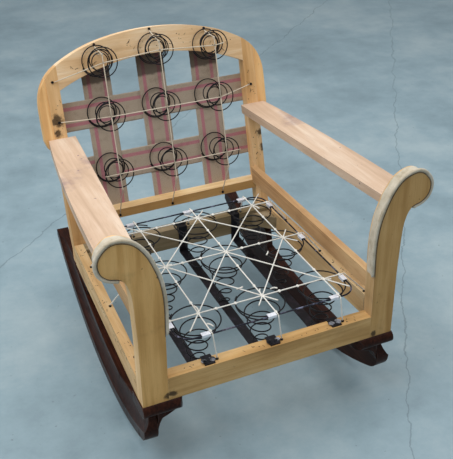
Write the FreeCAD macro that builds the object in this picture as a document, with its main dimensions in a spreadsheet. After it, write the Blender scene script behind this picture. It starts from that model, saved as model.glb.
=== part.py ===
"""Stripped armchair on two curved rockers, with its springs, webbing and twine.

Millimetres, +Z up. The chair faces -Y. The origin lies on the floor, midway
between the two places where the rockers touch it. The pieces are laid out from
the front face of the arm posts, and their placements move them to that origin.
"""
import math
import os

import FreeCAD
import Part
from FreeCAD import Placement, Rotation, Vector

os.makedirs("parts", exist_ok=True)
doc = FreeCAD.newDocument("rocker_chair")

# Driving sizes, in millimetres and degrees
SIZES = {
    "frame_height": 224,         # underside of the seat frame over the floor
    "rail_height": 70,
    "front_half_gap": 294,       # middle to the inner face of an arm post
    "front_rail_depth": 36,
    "arm_post_width": 69,
    "arm_post_depth": 40,
    "rail_thickness": 28,
    "rear_half_width": 338,      # middle to the outer face of a side rail, at its rear end
    "rear_face": 697,            # front face of the back posts, at the seat frame
    "rear_rail_depth": 37,
    "rake": 14,                  # lean of the back, in degrees
    "rake_y": 738,               # the raked front plane passes this point
    "rake_rise": 180,
    "post_inner": 298,
    "post_seam": 336,
    "post_depth": 36,
    "arch_half_width": 366,
    "arch_top": 503,
    "crest_middle": 425,         # crest rail's lower edge, up the back, in the middle
    "crest_end": 358,            # and at its ends
    "low_rail_height": 26,
    "low_rail_top": 144,         # lower back rail's level top over the frame's underside
    "arm_rear_top": 391,
    "arm_front_top": 416,
    "arm_thickness": 26,
    "tack_rail_height": 50,
    "tack_rail_top": 187,
    "tack_rail_thickness": 22,
    "roll_radius": 5,            # padded roll round the scroll
    "seat_fit": 0.2,             # gap between round pieces that rest on each other
    "rocker_radius": 950,
    "rocker_contact": 430,       # how far back the rockers touch the floor
    "rocker_thickness": 38,
    "rocker_inner": 327,
    "rocker_length": 976,
    "toe_in": 2,                 # degrees
    "bracket_height": 34,
    "deck_height": 147,          # seat springs' top coils over the frame's underside
    "deck_shift": 6,             # the spring unit sits this far to the right
    "column_pitch": 184,
    "front_row": 98,
    "middle_row": 335,
    "rear_row": 546,
    "seat_ring": 66,             # radius of a seat spring's top coil
    "seat_wire": 1.9,
    "edge_wire": 2.3,
    "bar_width": 28,
    "bar_thickness": 4,
    "bar_drop": 16,              # top of a spring bar under the frame's underside
    "twine": 1.5,
    "moving_gap": 0.4,
    "webbing_width": 89,
    "webbing_thickness": 1.6,
    "back_column": 176,
    "upper_webbing": 269,
    "lower_webbing": 94,
    "crest_row": 428,            # upper row of back springs
    "crest_lift": 12,            # its middle spring over its neighbours
    "back_ring": 47,
    "back_waist": 22,
    "back_wire": 1.7,
    "back_front": 75,            # back springs' front coils ahead of the posts
}
sheet = doc.addObject("Spreadsheet::Sheet", "Sizes")
for line, (alias, number) in enumerate(SIZES.items(), start=1):
    sheet.set("A%d" % line, alias)
    sheet.set("B%d" % line, str(number))
    sheet.setAlias("B%d" % line, alias)
doc.recompute()


def size(alias):
    """Read one driving size from the sheet."""
    return float(sheet.get(alias))


base = size("frame_height")
shift = size("deck_shift")
nodes = []


# Flat outlines

def side(y, z):
    """Point on the middle plane, z measured from the frame's underside."""
    return Vector(0, y, z + base)


def front(x, z):
    """Point on the arm posts' front plane, z from the frame's underside."""
    return Vector(x, 0, z + base)


def plan(x, y):
    """Point on the floor."""
    return Vector(x, y, 0)


def raked(x, v):
    """Point on the back's front plane, in the raked frame."""
    return Vector(x, 0, v)


def outline(plane, start, *steps):
    """Closed face of straight runs (end) and arcs (middle, end)."""
    edges = []
    here = plane(*start)
    for step in steps + (start,):
        if isinstance(step[0], tuple):
            end = plane(*step[1])
            edges.append(Part.Arc(here, plane(*step[0]), end).toShape())
        else:
            end = plane(*step)
            if (end - here).Length < 1e-6:
                continue
            edges.append(Part.LineSegment(here, end).toShape())
        here = end
    return Part.Face(Part.Wire(edges))


def arc_middle(start, corner, end):
    """Middle of the arc that leaves start towards corner and reaches end."""
    chord = (start + end) * 0.5
    rise = (corner - chord).Length
    tangent = (corner - start).Length
    if rise < 1e-9:
        return None
    radius = tangent * (end - start).Length / 2 / rise
    reach = math.hypot(tangent, radius) - radius
    return corner + (chord - corner) * (reach / rise)


def biarc(start, start_way, end, end_way):
    """Two tangent arcs between two points with given unit directions."""
    chord = end - start
    both = start_way + end_way
    a = 2 - 2 * start_way.dot(end_way)
    b = 2 * chord.dot(both)
    c = -chord.dot(chord)
    if abs(a) < 1e-9:
        reach = -c / b
    else:
        reach = (-b + math.sqrt(b * b - 4 * a * c)) / (2 * a)
    first = start + start_way * reach
    last = end - end_way * reach
    joint = (first + last) * 0.5
    return [(start, arc_middle(start, first, joint), joint),
            (joint, arc_middle(joint, last, end), end)]


def smooth(knots):
    """Arc steps for outline() through (x, y, direction in degrees) knots."""
    steps = []
    for (ax, ay, aim), (bx, by, bend) in zip(knots, knots[1:]):
        way_a = Vector(math.cos(math.radians(aim)), math.sin(math.radians(aim)), 0)
        way_b = Vector(math.cos(math.radians(bend)), math.sin(math.radians(bend)), 0)
        for _, middle, end in biarc(Vector(ax, ay, 0), way_a, Vector(bx, by, 0), way_b):
            if middle is None:
                steps.append((end.x, end.y))
            else:
                steps.append(((middle.x, middle.y), (end.x, end.y)))
    return steps


# Document objects

def keep(item, label):
    """Register one sub-part under its own label."""
    item.Label = label
    nodes.append(item)
    return item


def hold(name, shape, place=None):
    """Feature that holds a shape made here."""
    item = doc.addObject("Part::Feature", name)
    item.Shape = shape
    if place is not None:
        item.Placement = place
    return item


def prism(name, face, way, length):
    """Extrusion of a face, its length bound to an expression on the sheet."""
    item = doc.addObject("Part::Extrusion", name)
    item.Base = hold(name + "_outline", face)
    item.DirMode = "Custom"
    item.Dir = way
    item.LengthFwd = 1
    item.setExpression("LengthFwd", length)
    item.Solid = True
    return item


def common(name, *items):
    """What all the given objects share."""
    item = doc.addObject("Part::MultiCommon", name)
    item.Shapes = list(items)
    return item


def mirrored(source, label):
    """The same piece on the other side of the chair."""
    item = doc.addObject("Part::Mirroring", label)
    item.Source = source
    item.Base = Vector(0, 0, 0)
    item.Normal = Vector(1, 0, 0)
    return keep(item, label)


def box(label, sizes, place):
    """Rectangular piece whose sizes and place are bound to the sheet."""
    item = doc.addObject("Part::Box", label)
    for prop, expression in zip(("Length", "Width", "Height"), sizes):
        item.setExpression(prop, expression)
    for axis, expression in zip("xyz", place):
        item.setExpression("Placement.Base." + axis, expression)
    return keep(item, label)


rake_place = Placement(Vector(0, size("rake_y"), base + size("rake_rise")),
                       Rotation(Vector(1, 0, 0), -size("rake")))
rake_slope = math.tan(math.radians(size("rake")))


def rake_y(rise):
    """Front plane of the back at a height over the frame's underside."""
    return size("rake_y") + (rise - size("rake_rise")) * rake_slope


# Arm posts with their scroll heads
half_gap = size("front_half_gap")
post_outer = half_gap + size("arm_post_width")
INNER_EDGE = [(half_gap, 70, 90), (293, 200, 90), (292, 300, 87), (307, 388, 70), (330, 442, 59)]
SCROLL_HEAD = [(330, 442, 59), (366, 480, 26), (404, 487, -12), (432, 466, -52),
               (441, 438, -94), (431, 411, -132), (408, 397, -168)]
UNDERSIDE = [(408, 397, -168), (388, 388, -134), (371, 350, -102), (366, 300, -94)]
scroll_knots = INNER_EDGE + SCROLL_HEAD[1:]
arm_post_face = outline(front, (half_gap, 0), (half_gap, 70), *smooth(scroll_knots),
                        *smooth(UNDERSIDE), (post_outer, 200), (post_outer, 0))
right_arm_post = keep(prism("right_arm_post", arm_post_face, Vector(0, 1, 0),
                            "Sizes.arm_post_depth"), "right_arm_post")
mirrored(right_arm_post, "left_arm_post")


# Padded roll round each scroll

def pipe(edges, radius):
    """Round tube along tangent edges."""
    spine = Part.Wire(edges)
    first = edges[0]
    start = first.valueAt(first.FirstParameter)
    way = first.tangentAt(first.FirstParameter)
    ring = Part.Wire(Part.makeCircle(radius, start, way))
    shell = Part.BRepOffsetAPI.MakePipeShell(spine)
    shell.add(ring)
    shell.build()
    shell.makeSolid()
    return shell.shape()


def offset_knots(knots, distance):
    """Knots moved to the left of their directions."""
    moved = []
    for x, z, aim in knots:
        turn = math.radians(aim)
        moved.append((x - math.sin(turn) * distance, z + math.cos(turn) * distance, aim))
    return moved


def path_edges(plane, start, steps):
    """Edges of an open path."""
    edges = []
    here = plane(*start)
    for step in steps:
        if isinstance(step[0], tuple):
            end = plane(*step[1])
            edges.append(Part.Arc(here, plane(*step[0]), end).toShape())
        else:
            end = plane(*step)
            edges.append(Part.LineSegment(here, end).toShape())
        here = end
    return edges


roll_out = size("roll_radius") + size("seat_fit")
roll_knots = offset_knots(scroll_knots[1:] + UNDERSIDE[1:2], roll_out)
roll_edges = path_edges(front, roll_knots[0][:2], smooth(roll_knots))
roll_shape = pipe(roll_edges, size("roll_radius"))
roll_shape.translate(Vector(0, size("roll_radius") - 2, 0))
right_roll = keep(hold("right_edge_roll", roll_shape), "right_edge_roll")
mirrored(right_roll, "left_edge_roll")

# Seat frame
box("front_seat_rail",
    ("2 * Sizes.front_half_gap", "Sizes.front_rail_depth", "Sizes.rail_height"),
    ("-Sizes.front_half_gap", "-Sizes.rocker_contact", "Sizes.frame_height"))
rail_front = size("arm_post_depth")
rail_back = size("rear_face")
rail_slope = (post_outer - size("rear_half_width")) / (rail_back - rail_front)


def rail_outer(y):
    """Outer face of a side rail at a distance from the front."""
    return post_outer - (y - rail_front) * rail_slope


def rail_inner(y):
    """Inner face of a side rail at a distance from the front."""
    return rail_outer(y) - size("rail_thickness")


rail_face = outline(plan, (rail_outer(rail_front), rail_front),
                    (rail_outer(rail_back), rail_back),
                    (rail_inner(rail_back), rail_back), (rail_inner(rail_front), rail_front))
rail_face.translate(Vector(0, 0, base))
right_rail = keep(prism("right_seat_rail", rail_face, Vector(0, 0, 1), "Sizes.rail_height"),
                  "right_seat_rail")
mirrored(right_rail, "left_seat_rail")

rear_rail_front = rail_back - size("rear_rail_depth")
rear_rail_face = outline(plan, (rail_inner(rear_rail_front), rear_rail_front),
                         (rail_inner(rail_back), rail_back),
                         (-rail_inner(rail_back), rail_back),
                         (-rail_inner(rear_rail_front), rear_rail_front))
rear_rail_face.translate(Vector(0, 0, base))
keep(prism("rear_seat_rail", rear_rail_face, Vector(0, 0, 1), "Sizes.rail_height"),
     "rear_seat_rail")

BLOCK_SIDE = 58
BLOCK_LOW = 12
BLOCK_HEIGHT = 46
blocks = []
for sign in (1, -1):
    corner_y = rail_front
    inner = rail_inner(corner_y)
    face = outline(plan, (sign * inner, corner_y),
                   (sign * rail_inner(corner_y + BLOCK_SIDE), corner_y + BLOCK_SIDE),
                   (sign * (half_gap + 2), corner_y))
    blocks.append(face.extrude(Vector(0, 0, BLOCK_HEIGHT)))
    corner_y = rear_rail_front
    inner = rail_inner(corner_y)
    face = outline(plan, (sign * inner, corner_y),
                   (sign * rail_inner(corner_y - BLOCK_SIDE), corner_y - BLOCK_SIDE),
                   (sign * (inner - BLOCK_SIDE), corner_y))
    blocks.append(face.extrude(Vector(0, 0, BLOCK_HEIGHT)))
block_group = Part.makeCompound(blocks)
block_group.translate(Vector(0, 0, base + BLOCK_LOW))
keep(hold("corner_blocks", block_group), "corner_blocks")

# Arms and tack rails, sawn to a plan and a side outline
TALL = 2000
ARM_REAR_INNER = 273
ARM_REAR_OUTER = 353
ARM_FRONT_INNER = 329
ARM_FRONT_OUTER = 420
arm_rear_y = rake_y(size("arm_rear_top")) + 20
arm_top_front = size("arm_front_top")
arm_top_rear = size("arm_rear_top")
thick = size("arm_thickness")
arm_plan = outline(plan, (ARM_FRONT_INNER, rail_front), (ARM_REAR_INNER, arm_rear_y),
                   (ARM_REAR_OUTER, arm_rear_y),
                   ((ARM_REAR_OUTER + 44, 440), (ARM_FRONT_OUTER, rail_front)))
rear_top_y = rake_y(arm_top_rear)
rear_low_y = rake_y(arm_top_rear - thick)
arm_side = outline(side, (rail_front, arm_top_front), (rear_top_y, arm_top_rear),
                   (rear_low_y, arm_top_rear - thick), (rail_front, arm_top_front - thick))
arm_side.translate(Vector(ARM_REAR_INNER - 20, 0, 0))
right_arm = common("right_arm_board",
                   hold("arm_plan_cut", arm_plan.extrude(Vector(0, 0, TALL))),
                   prism("arm_side_cut", arm_side, Vector(1, 0, 0), "Sizes.arm_post_width * 3"))
keep(right_arm, "right_arm_board")
mirrored(right_arm, "left_arm_board")

TACK_FRONT_INNER = 301
TACK_REAR_INNER = 286
tack_thick = size("tack_rail_thickness")
tack_top = size("tack_rail_top")
tack_low = tack_top - size("tack_rail_height")
tack_rear_y = rake_y(tack_top) + 20
tack_plan = outline(plan, (TACK_FRONT_INNER, rail_front), (TACK_REAR_INNER, tack_rear_y),
                    (TACK_REAR_INNER + tack_thick, tack_rear_y),
                    (TACK_FRONT_INNER + tack_thick, rail_front))
tack_side = outline(side, (rail_front, tack_top), (rake_y(tack_top), tack_top),
                    (rake_y(tack_low), tack_low), (rail_front, tack_low))
tack_side.translate(Vector(TACK_REAR_INNER - 20, 0, 0))
right_tack = common("right_tack_rail",
                    hold("tack_plan_cut", tack_plan.extrude(Vector(0, 0, TALL))),
                    prism("tack_side_cut", tack_side, Vector(1, 0, 0),
                          "Sizes.tack_rail_thickness * 4"))
keep(right_tack, "right_tack_rail")
mirrored(right_tack, "left_tack_rail")

# Raked back: posts, side boards, crest rail and lower rail
half_arch = size("arch_half_width")
arch_top = size("arch_top")
RIGHT_ARCH = [(0, arch_top, 0), (168, 484, -13), (290, 436, -29), (338, 396, -52),
              (half_arch - 3, 338, -80), (half_arch, 290, -90)]
LEFT_ARCH = [(-x, v, -aim) for x, v, aim in reversed(RIGHT_ARCH)]
ARCH_LOW = -400
ARCH_FRONT = -200
ARCH_BACK = 400
arch_face = outline(raked, (-half_arch, ARCH_LOW), (-half_arch, 290), *smooth(LEFT_ARCH),
                    *smooth(RIGHT_ARCH), (half_arch, ARCH_LOW))
arch_face.translate(Vector(0, ARCH_FRONT, 0))
arch_block = arch_face.extrude(Vector(0, ARCH_BACK - ARCH_FRONT, 0))


def arch_cut(name):
    """The arch as a deep block along the back's normal."""
    return hold(name, arch_block.copy(), rake_place)


post_inner = size("post_inner")
post_seam = size("post_seam")
depth = size("post_depth")
BEND_RISE = 75
POST_KNEE = 40
front_bend = rake_y(BEND_RISE)
rear_step = depth / math.cos(math.radians(size("rake")))
high = size("rake_rise") + arch_top
post_side = outline(side, (rail_back, 0), (rail_back, POST_KNEE), (front_bend, BEND_RISE),
                    (rake_y(high), high), (rake_y(high) + rear_step, high),
                    (front_bend + rear_step, BEND_RISE), (rail_back + depth, POST_KNEE),
                    (rail_back + depth, 0))
post_side.translate(Vector(post_inner, 0, 0))
right_post = common("right_back_post", arch_cut("post_arch"),
                    prism("post_side_cut", post_side, Vector(1, 0, 0),
                          "Sizes.post_seam - Sizes.post_inner"))
keep(right_post, "right_back_post")
mirrored(right_post, "left_back_post")

SIDE_BOARD_LOW = 190
SIDE_BOARD_RECESS = 2
side_board_face = outline(raked, (post_seam, SIDE_BOARD_LOW), (post_seam, arch_top),
                          (half_arch, arch_top), (half_arch, SIDE_BOARD_LOW + 24),
                          (half_arch - 8, SIDE_BOARD_LOW))
side_board_face.translate(Vector(0, SIDE_BOARD_RECESS, 0))
side_board = hold("side_board_blank",
                  side_board_face.extrude(Vector(0, depth - 2 * SIDE_BOARD_RECESS, 0)),
                  rake_place)
right_board = common("right_back_side_board", arch_cut("board_arch"), side_board)
keep(right_board, "right_back_side_board")
mirrored(right_board, "left_back_side_board")

crest_end = size("crest_end")
crest_face = outline(raked, (-post_inner, crest_end),
                     ((0, size("crest_middle")), (post_inner, crest_end)),
                     (post_inner, arch_top + 20), (-post_inner, arch_top + 20))
crest_blank = hold("crest_blank", crest_face.extrude(Vector(0, depth, 0)), rake_place)
keep(common("crest_rail", arch_cut("crest_arch"), crest_blank), "crest_rail")

low_top = size("low_rail_top")
low_bottom = low_top - size("low_rail_height")
rake_cos = math.cos(math.radians(size("rake")))


def up_rake(rise, w):
    """Place up the slope of a level line, at a depth behind the raked plane."""
    return (rise - size("rake_rise")) / rake_cos + w * rake_slope


def rake_side(w, v):
    """Point on the middle plane of the raked frame."""
    return Vector(0, w, v)


low_face = outline(rake_side, (0, up_rake(low_top, 0)), (depth, up_rake(low_top, depth)),
                   (depth, up_rake(low_bottom, depth)), (0, up_rake(low_bottom, 0)))
low_face.translate(Vector(-post_inner, 0, 0))
keep(hold("lower_back_rail", low_face.extrude(Vector(2 * post_inner, 0, 0)), rake_place),
     "lower_back_rail")

# Rockers, in a frame of their own that is toed in, inner face at x = 0
rocker_radius = size("rocker_radius")
contact = size("rocker_contact")
rocker_length = size("rocker_length")
rocker_thick = size("rocker_thickness")
arc_centre = rocker_radius - base


def rocker_low(y):
    """Rocker's lower edge over the frame's underside."""
    return arc_centre - math.sqrt(rocker_radius ** 2 - (y - contact) ** 2)


def over_arc(y, height, lean):
    """Knot at a height over the rocker's lower edge, turned by lean from its slope."""
    slope = math.degrees(math.asin((y - contact) / rocker_radius))
    return (y, rocker_low(y) + height, slope + lean)


bracket = size("bracket_height")
NECK_FRONT = 26
NECK_REAR = 72
CHIN = 34
ROCKER_TOP = [(NECK_REAR, -bracket, -62), over_arc(167, 90, 0), over_arc(400, 108.5, 4),
              over_arc(700, 112, -3.5), over_arc(rocker_length, 27.5, -27)]
ROCKER_NOSE = [over_arc(CHIN, 0, 181.5), (0, -86, 88), (14, -54, 50), (NECK_FRONT, -bracket, 100)]
rocker_face = outline(
    side, (NECK_FRONT, -bracket), (NECK_REAR, -bracket), *smooth(ROCKER_TOP),
    (rocker_length, rocker_low(rocker_length)),
    ((contact, -base), (CHIN, rocker_low(CHIN))), *smooth(ROCKER_NOSE))
rocker_board = rocker_face.extrude(Vector(rocker_thick, 0, 0))

# Moulding: lower band, cove and flat list, turned about the rocking arc's centre
BAND = 36
BAND_CHAMFER = 4
COVE_TOP = 88
COVE_IN = 17
LIST_IN = 12
MOULD_DEPTH = 240


def mould(x, depth_in):
    """Point of the moulding at the contact line, depth measured up from the floor."""
    return Vector(x, contact, depth_in)


mould_face = outline(
    mould, (0, -5), (rocker_thick - 8, -5), (rocker_thick, 3), (rocker_thick, BAND - BAND_CHAMFER),
    (rocker_thick - BAND_CHAMFER, BAND),
    ((rocker_thick - COVE_IN + 2, BAND + 22), (rocker_thick - COVE_IN, COVE_TOP)),
    (rocker_thick - LIST_IN, COVE_TOP + 6), (rocker_thick - LIST_IN, MOULD_DEPTH), (0, MOULD_DEPTH))
mould_axis = Vector(0, contact, rocker_radius)
HALF_TURN = 70
mould_face.rotate(mould_axis, Vector(1, 0, 0), -HALF_TURN)
mould_ring = mould_face.revolve(mould_axis, Vector(1, 0, 0), 2 * HALF_TURN)
rocker_place = Placement(Vector(size("rocker_inner"), 0, 0),
                         Rotation(Vector(0, 0, 1), size("toe_in")))
right_rocker = common("right_rocker", hold("rocker_board", rocker_board, rocker_place),
                      hold("rocker_moulding", mould_ring, rocker_place))
keep(right_rocker, "right_rocker")
mirrored(right_rocker, "left_rocker")

# Rear foot block, shaped to the rocker's upper edge
FOOT_FRONT = 648
FOOT_REAR = 742
foot_blank = outline(side, (FOOT_FRONT - 14, -140), (FOOT_REAR + 8, -140),
                     (FOOT_REAR, -20), (rail_back + depth + 2, 0), (rail_back - 6, 0),
                     (FOOT_FRONT + 12, -24))
foot_shape = foot_blank.extrude(Vector(rocker_thick - COVE_IN, 0, 0)).cut(rocker_board)
foot_top = max(foot_shape.Solids, key=lambda piece: piece.CenterOfMass.z)
right_foot = keep(hold("right_rear_foot", foot_top, rocker_place), "right_rear_foot")
mirrored(right_foot, "left_rear_foot")

# Front bracket: bullnosed plate with a coved wing against the rocker's inner side
BRACKET_INNER = 252
BRACKET_OUTER = 366
NOSE = 12
WING_DEPTH = 40
plate_face = outline(plan, (BRACKET_OUTER, -NOSE), (BRACKET_OUTER, NECK_REAR),
                     (BRACKET_INNER + 16, NECK_REAR),
                     ((BRACKET_INNER, (NECK_REAR - NOSE) / 2), (BRACKET_INNER + 16, -NOSE)))
plate_face.translate(Vector(0, 0, base - bracket))
nose_face = outline(side, (NECK_REAR, -bracket), (NECK_REAR, 0), (0, 0),
                    ((-NOSE, -bracket / 2), (0, -bracket)))
nose_face.translate(Vector(BRACKET_INNER - 10, 0, 0))
plate = plate_face.extrude(Vector(0, 0, bracket)).common(
    nose_face.extrude(Vector(BRACKET_OUTER - BRACKET_INNER + 20, 0, 0)))
wing_face = outline(front, (BRACKET_INNER + 14, -bracket),
                    ((BRACKET_INNER + 40, -bracket - 14), (312, -56)),
                    ((320, -71), (size("rocker_inner") - 2, -90)),
                    (size("rocker_inner") - 2, -bracket))
wing_face.translate(Vector(0, 4, 0))
wing = wing_face.extrude(Vector(0, WING_DEPTH, 0))
right_bracket = keep(hold("right_front_bracket", plate.fuse(wing).removeSplitter()),
                     "right_front_bracket")
mirrored(right_bracket, "left_front_bracket")

# Spring bars: steel strips that pass under the springs and hook over the rails
bar_thick = size("bar_thickness")
bar_low = -size("bar_drop")
rail_top = size("rail_height")
front_inside = size("front_rail_depth")
HOOK_INSET = 4
columns = [shift + size("column_pitch") * step for step in (-1, 0, 1)]
rows = [size("front_row"), size("middle_row"), size("rear_row")]
bar_front = front_inside + size("seat_fit")
bar_rear = rear_rail_front - size("seat_fit")
bar_points = [(HOOK_INSET, rail_top), (HOOK_INSET, rail_top + bar_thick),
              (bar_front + bar_thick, rail_top + bar_thick), (bar_front + bar_thick, bar_low),
              (bar_rear - bar_thick, bar_low), (bar_rear - bar_thick, rail_top + bar_thick),
              (rail_back - HOOK_INSET, rail_top + bar_thick), (rail_back - HOOK_INSET, rail_top),
              (bar_rear, rail_top), (bar_rear, bar_low - bar_thick),
              (bar_front, bar_low - bar_thick), (bar_front, rail_top)]
COLUMN_NAMES = ("left", "middle", "right")
ROW_NAMES = ("front", "middle", "rear")
for name, column in zip(COLUMN_NAMES, columns):
    bar_face = outline(side, *bar_points)
    bar_face.translate(Vector(column - size("bar_width") / 2, 0, 0))
    keep(prism("spring_bar_" + name, bar_face, Vector(1, 0, 0), "Sizes.bar_width"),
         "spring_bar_" + name)


def nail(x, y, z, head, length=2.0):
    """Round nail head standing on a level face."""
    return Part.makeCylinder(head, length, Vector(x, y, z), Vector(0, 0, 1))


WASHER = 9.5
WASHER_THICK = 1.2
WASHER_PLACE = 9.9
bar_nails = []
for column in columns:
    for y in (HOOK_INSET + 14, rail_back - HOOK_INSET - 14):
        for x in (column - WASHER_PLACE, column + WASHER_PLACE):
            washer_low = base + rail_top + bar_thick
            bar_nails.append(nail(x, y, washer_low, WASHER, WASHER_THICK))
            bar_nails.append(nail(x, y, washer_low + WASHER_THICK, 4, 1.8))
keep(hold("bar_washers", Part.makeCompound(bar_nails)), "bar_washers")


# Springs: one wire each, its turns laid on pairs of tangent arcs

def between(stations, turn):
    """Radius and height at a turn, between (turn, radius, height) stations."""
    for (low, *before), (high, *after) in zip(stations, stations[1:]):
        if turn <= high:
            break
    part = min(1.0, max(0.0, (turn - low) / (high - low)))
    return [start + (end - start) * part for start, end in zip(before, after)]


def coil(stations, start_angle, wire):
    """Tube of one spring, and the least gap between its turns."""
    turns = stations[-1][0]

    def point(turn):
        angle = math.radians(start_angle + 360 * turn)
        radius, height = between(stations, turn)
        return Vector(radius * math.cos(angle), radius * math.sin(angle), height)

    def way(turn):
        return (point(turn + 0.04) - point(turn - 0.04)).normalize()

    edges = []
    stops = [index / 4 for index in range(4 * turns + 1)]
    for here, there in zip(stops, stops[1:]):
        for start, middle, end in biarc(point(here), way(here), point(there), way(there)):
            edges.append(Part.Arc(start, middle, end).toShape())
    samples = [point(index / 48) for index in range(48 * turns + 1)]
    gap = min((a - b).Length for i, a in enumerate(samples) for b in samples[i + 30:])
    return pipe(edges, wire), gap - 2 * wire


deck = size("deck_height")
seat_wire = size("seat_wire")
ring = size("seat_ring")
fit = size("moving_gap")
seat_bottom = bar_low + seat_wire + size("seat_fit")
seat_stations = [(0, ring, deck), (0.7, ring, deck), (1, ring, deck - 4.6), (2, 42, 112),
                 (3, 34, 82), (4, 26, 50), (5, 18, 16), (6, 15, seat_bottom)]
CLIP_ANGLE = {("left", "front"): 135, ("middle", "front"): 135, ("right", "front"): 225,
              ("left", "middle"): 90, ("middle", "middle"): 135, ("right", "middle"): 270,
              ("left", "rear"): 45, ("middle", "rear"): 0, ("right", "rear"): 315}
spring_gaps = []
for column_name, column in zip(COLUMN_NAMES, columns):
    for row_name, row in zip(ROW_NAMES, rows):
        shape, gap = coil(seat_stations, CLIP_ANGLE[column_name, row_name], seat_wire)
        spring_gaps.append(gap)
        label = "seat_spring_%s_%s" % (row_name, column_name)
        keep(hold(label, shape, Placement(Vector(column, row, base), Rotation())), label)
print("least gap inside a seat spring %.2f mm" % min(spring_gaps))

# Edge wire round the springs' top coils, and its clips
edge = size("edge_wire")
clear = ring + seat_wire + fit + edge
wire_left = columns[0] - clear
wire_right = columns[2] + clear
wire_front = rows[0] - clear
wire_rear = rows[2] + clear
WIRE_BEND = 42
bend = WIRE_BEND
diagonal = bend * (1 - math.sqrt(0.5))


def deck_point(x, y):
    """Point at the height of the top coils."""
    return Vector(x, y, base + deck)


wire_steps = [
    (wire_right - bend, wire_front),
    ((wire_right - diagonal, wire_front + diagonal), (wire_right, wire_front + bend)),
    (wire_right, wire_rear - bend),
    ((wire_right - diagonal, wire_rear - diagonal), (wire_right - bend, wire_rear)),
    (wire_left + bend, wire_rear),
    ((wire_left + diagonal, wire_rear - diagonal), (wire_left, wire_rear - bend)),
    (wire_left, wire_front + bend),
    ((wire_left + diagonal, wire_front + diagonal), (wire_left + bend, wire_front)),
    (shift + 8, wire_front)]
keep(hold("seat_edge_wire", pipe(path_edges(deck_point, (shift + 9, wire_front), wire_steps),
                                 edge)), "seat_edge_wire")

CLIP_LENGTH = 24
CLIP_WALL = 1.2
CLIP_EASE = 0.9
clip_outer = 2 * seat_wire + 2 * edge + fit + 2 * (CLIP_WALL + fit + CLIP_EASE)
clip_high = 2 * edge + 2 * (CLIP_WALL + fit)


def clip(x, y, across_x):
    """Band of sheet steel closed round a top coil and the edge wire."""
    outer = Part.makeBox(clip_outer, CLIP_LENGTH, clip_high,
                         Vector(-clip_outer / 2, -CLIP_LENGTH / 2, -clip_high / 2))
    slot = Part.makeBox(clip_outer - 2 * CLIP_WALL, CLIP_LENGTH + 2, clip_high - 2 * CLIP_WALL,
                        Vector(CLIP_WALL - clip_outer / 2, -CLIP_LENGTH / 2 - 1,
                               CLIP_WALL - clip_high / 2))
    band = outer.cut(slot)
    if not across_x:
        band.rotate(Vector(0, 0, 0), Vector(0, 0, 1), 90)
    band.translate(Vector(x, y, base + deck))
    return band


clip_out = ring - seat_wire + (2 * seat_wire + 2 * edge + fit) / 2
clips = []
for row in rows:
    clips.append(clip(columns[0] - clip_out, row, True))
    clips.append(clip(columns[2] + clip_out, row, True))
for column in columns:
    clips.append(clip(column, rows[0] - clip_out, False))
    clips.append(clip(column, rows[2] + clip_out, False))
keep(hold("edge_wire_clips", Part.makeCompound(clips)), "edge_wire_clips")

# Twine lashed star-wise over the top coils
twine = size("twine")
twine_rise = deck + edge + fit + twine
clip_top = deck + clip_high / 2
KNOT = 5.4
CROSSING = 3.4
KNOT_GRIP = 0.5
SEAM_TURN = 20


def run(start, end, radius):
    """Straight taut run of twine."""
    return Part.makeCylinder(radius, (end - start).Length, start, end - start)


def lashing(runs, knots, radius):
    """Runs of twine joined where they are knotted; knots are (point, radius)."""
    pieces = []
    for knot, knot_radius in knots:
        ball = Part.makeSphere(knot_radius, knot)
        ball.rotate(knot, Vector(0, 0, 1), SEAM_TURN)
        pieces.append(ball)
    for start, end in runs:
        way = (end - start).normalize()
        ends = []
        for point, sign in ((start, 1), (end, -1)):
            held = [knot_radius for knot, knot_radius in knots if (knot - point).Length < 0.01]
            ends.append(point + way * (sign * (held[0] - KNOT_GRIP) if held else 0))
        pieces.append(run(ends[0], ends[1], radius))
    return pieces[0].multiFuse(pieces[1:]).removeSplitter()


def over(x, y):
    """Point of the twine over the top coils."""
    return Vector(x, y, base + twine_rise)


OVERHANG = 7
net_left = wire_left - OVERHANG
net_right = wire_right + OVERHANG
net_front = wire_front - OVERHANG
net_rear = wire_rear + OVERHANG
OFF_CLIP = 14
net_columns = [column + OFF_CLIP for column in columns]
net_rows = [row + OFF_CLIP for row in rows]
net_runs = []
net_knots = [(over(x, y), KNOT) for x in net_columns for y in net_rows]


def chain(points):
    """Runs from each point to the next."""
    net_runs.extend(zip(points, points[1:]))


for y in net_rows:
    chain([over(x, y) for x in [net_left] + net_columns + [net_right]])
for x in net_columns:
    chain([over(x, y) for y in [net_front] + net_rows + [net_rear]])
CORNER_REACH = 78
SHORT_REACH = 46
cells = [(0, 0), (1, 0), (0, 1), (1, 1)]
for i, j in cells:
    west, east = net_columns[i], net_columns[i + 1]
    south, north = net_rows[j], net_rows[j + 1]
    middle = over((west + east) / 2, (south + north) / 2)
    net_knots.append((middle, CROSSING))
    for x, y in ((west, south), (east, south), (west, north), (east, north)):
        knot = over(x, y)
        chain([middle, knot])
        if x != net_columns[1] or y != net_rows[1]:
            corner = x != net_columns[1] and y != net_rows[1]
            reach = CORNER_REACH if corner else SHORT_REACH
            chain([knot, knot + (knot - middle).normalize() * reach])
keep(hold("seat_lashing", lashing(net_runs, net_knots, twine)), "seat_lashing")

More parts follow.
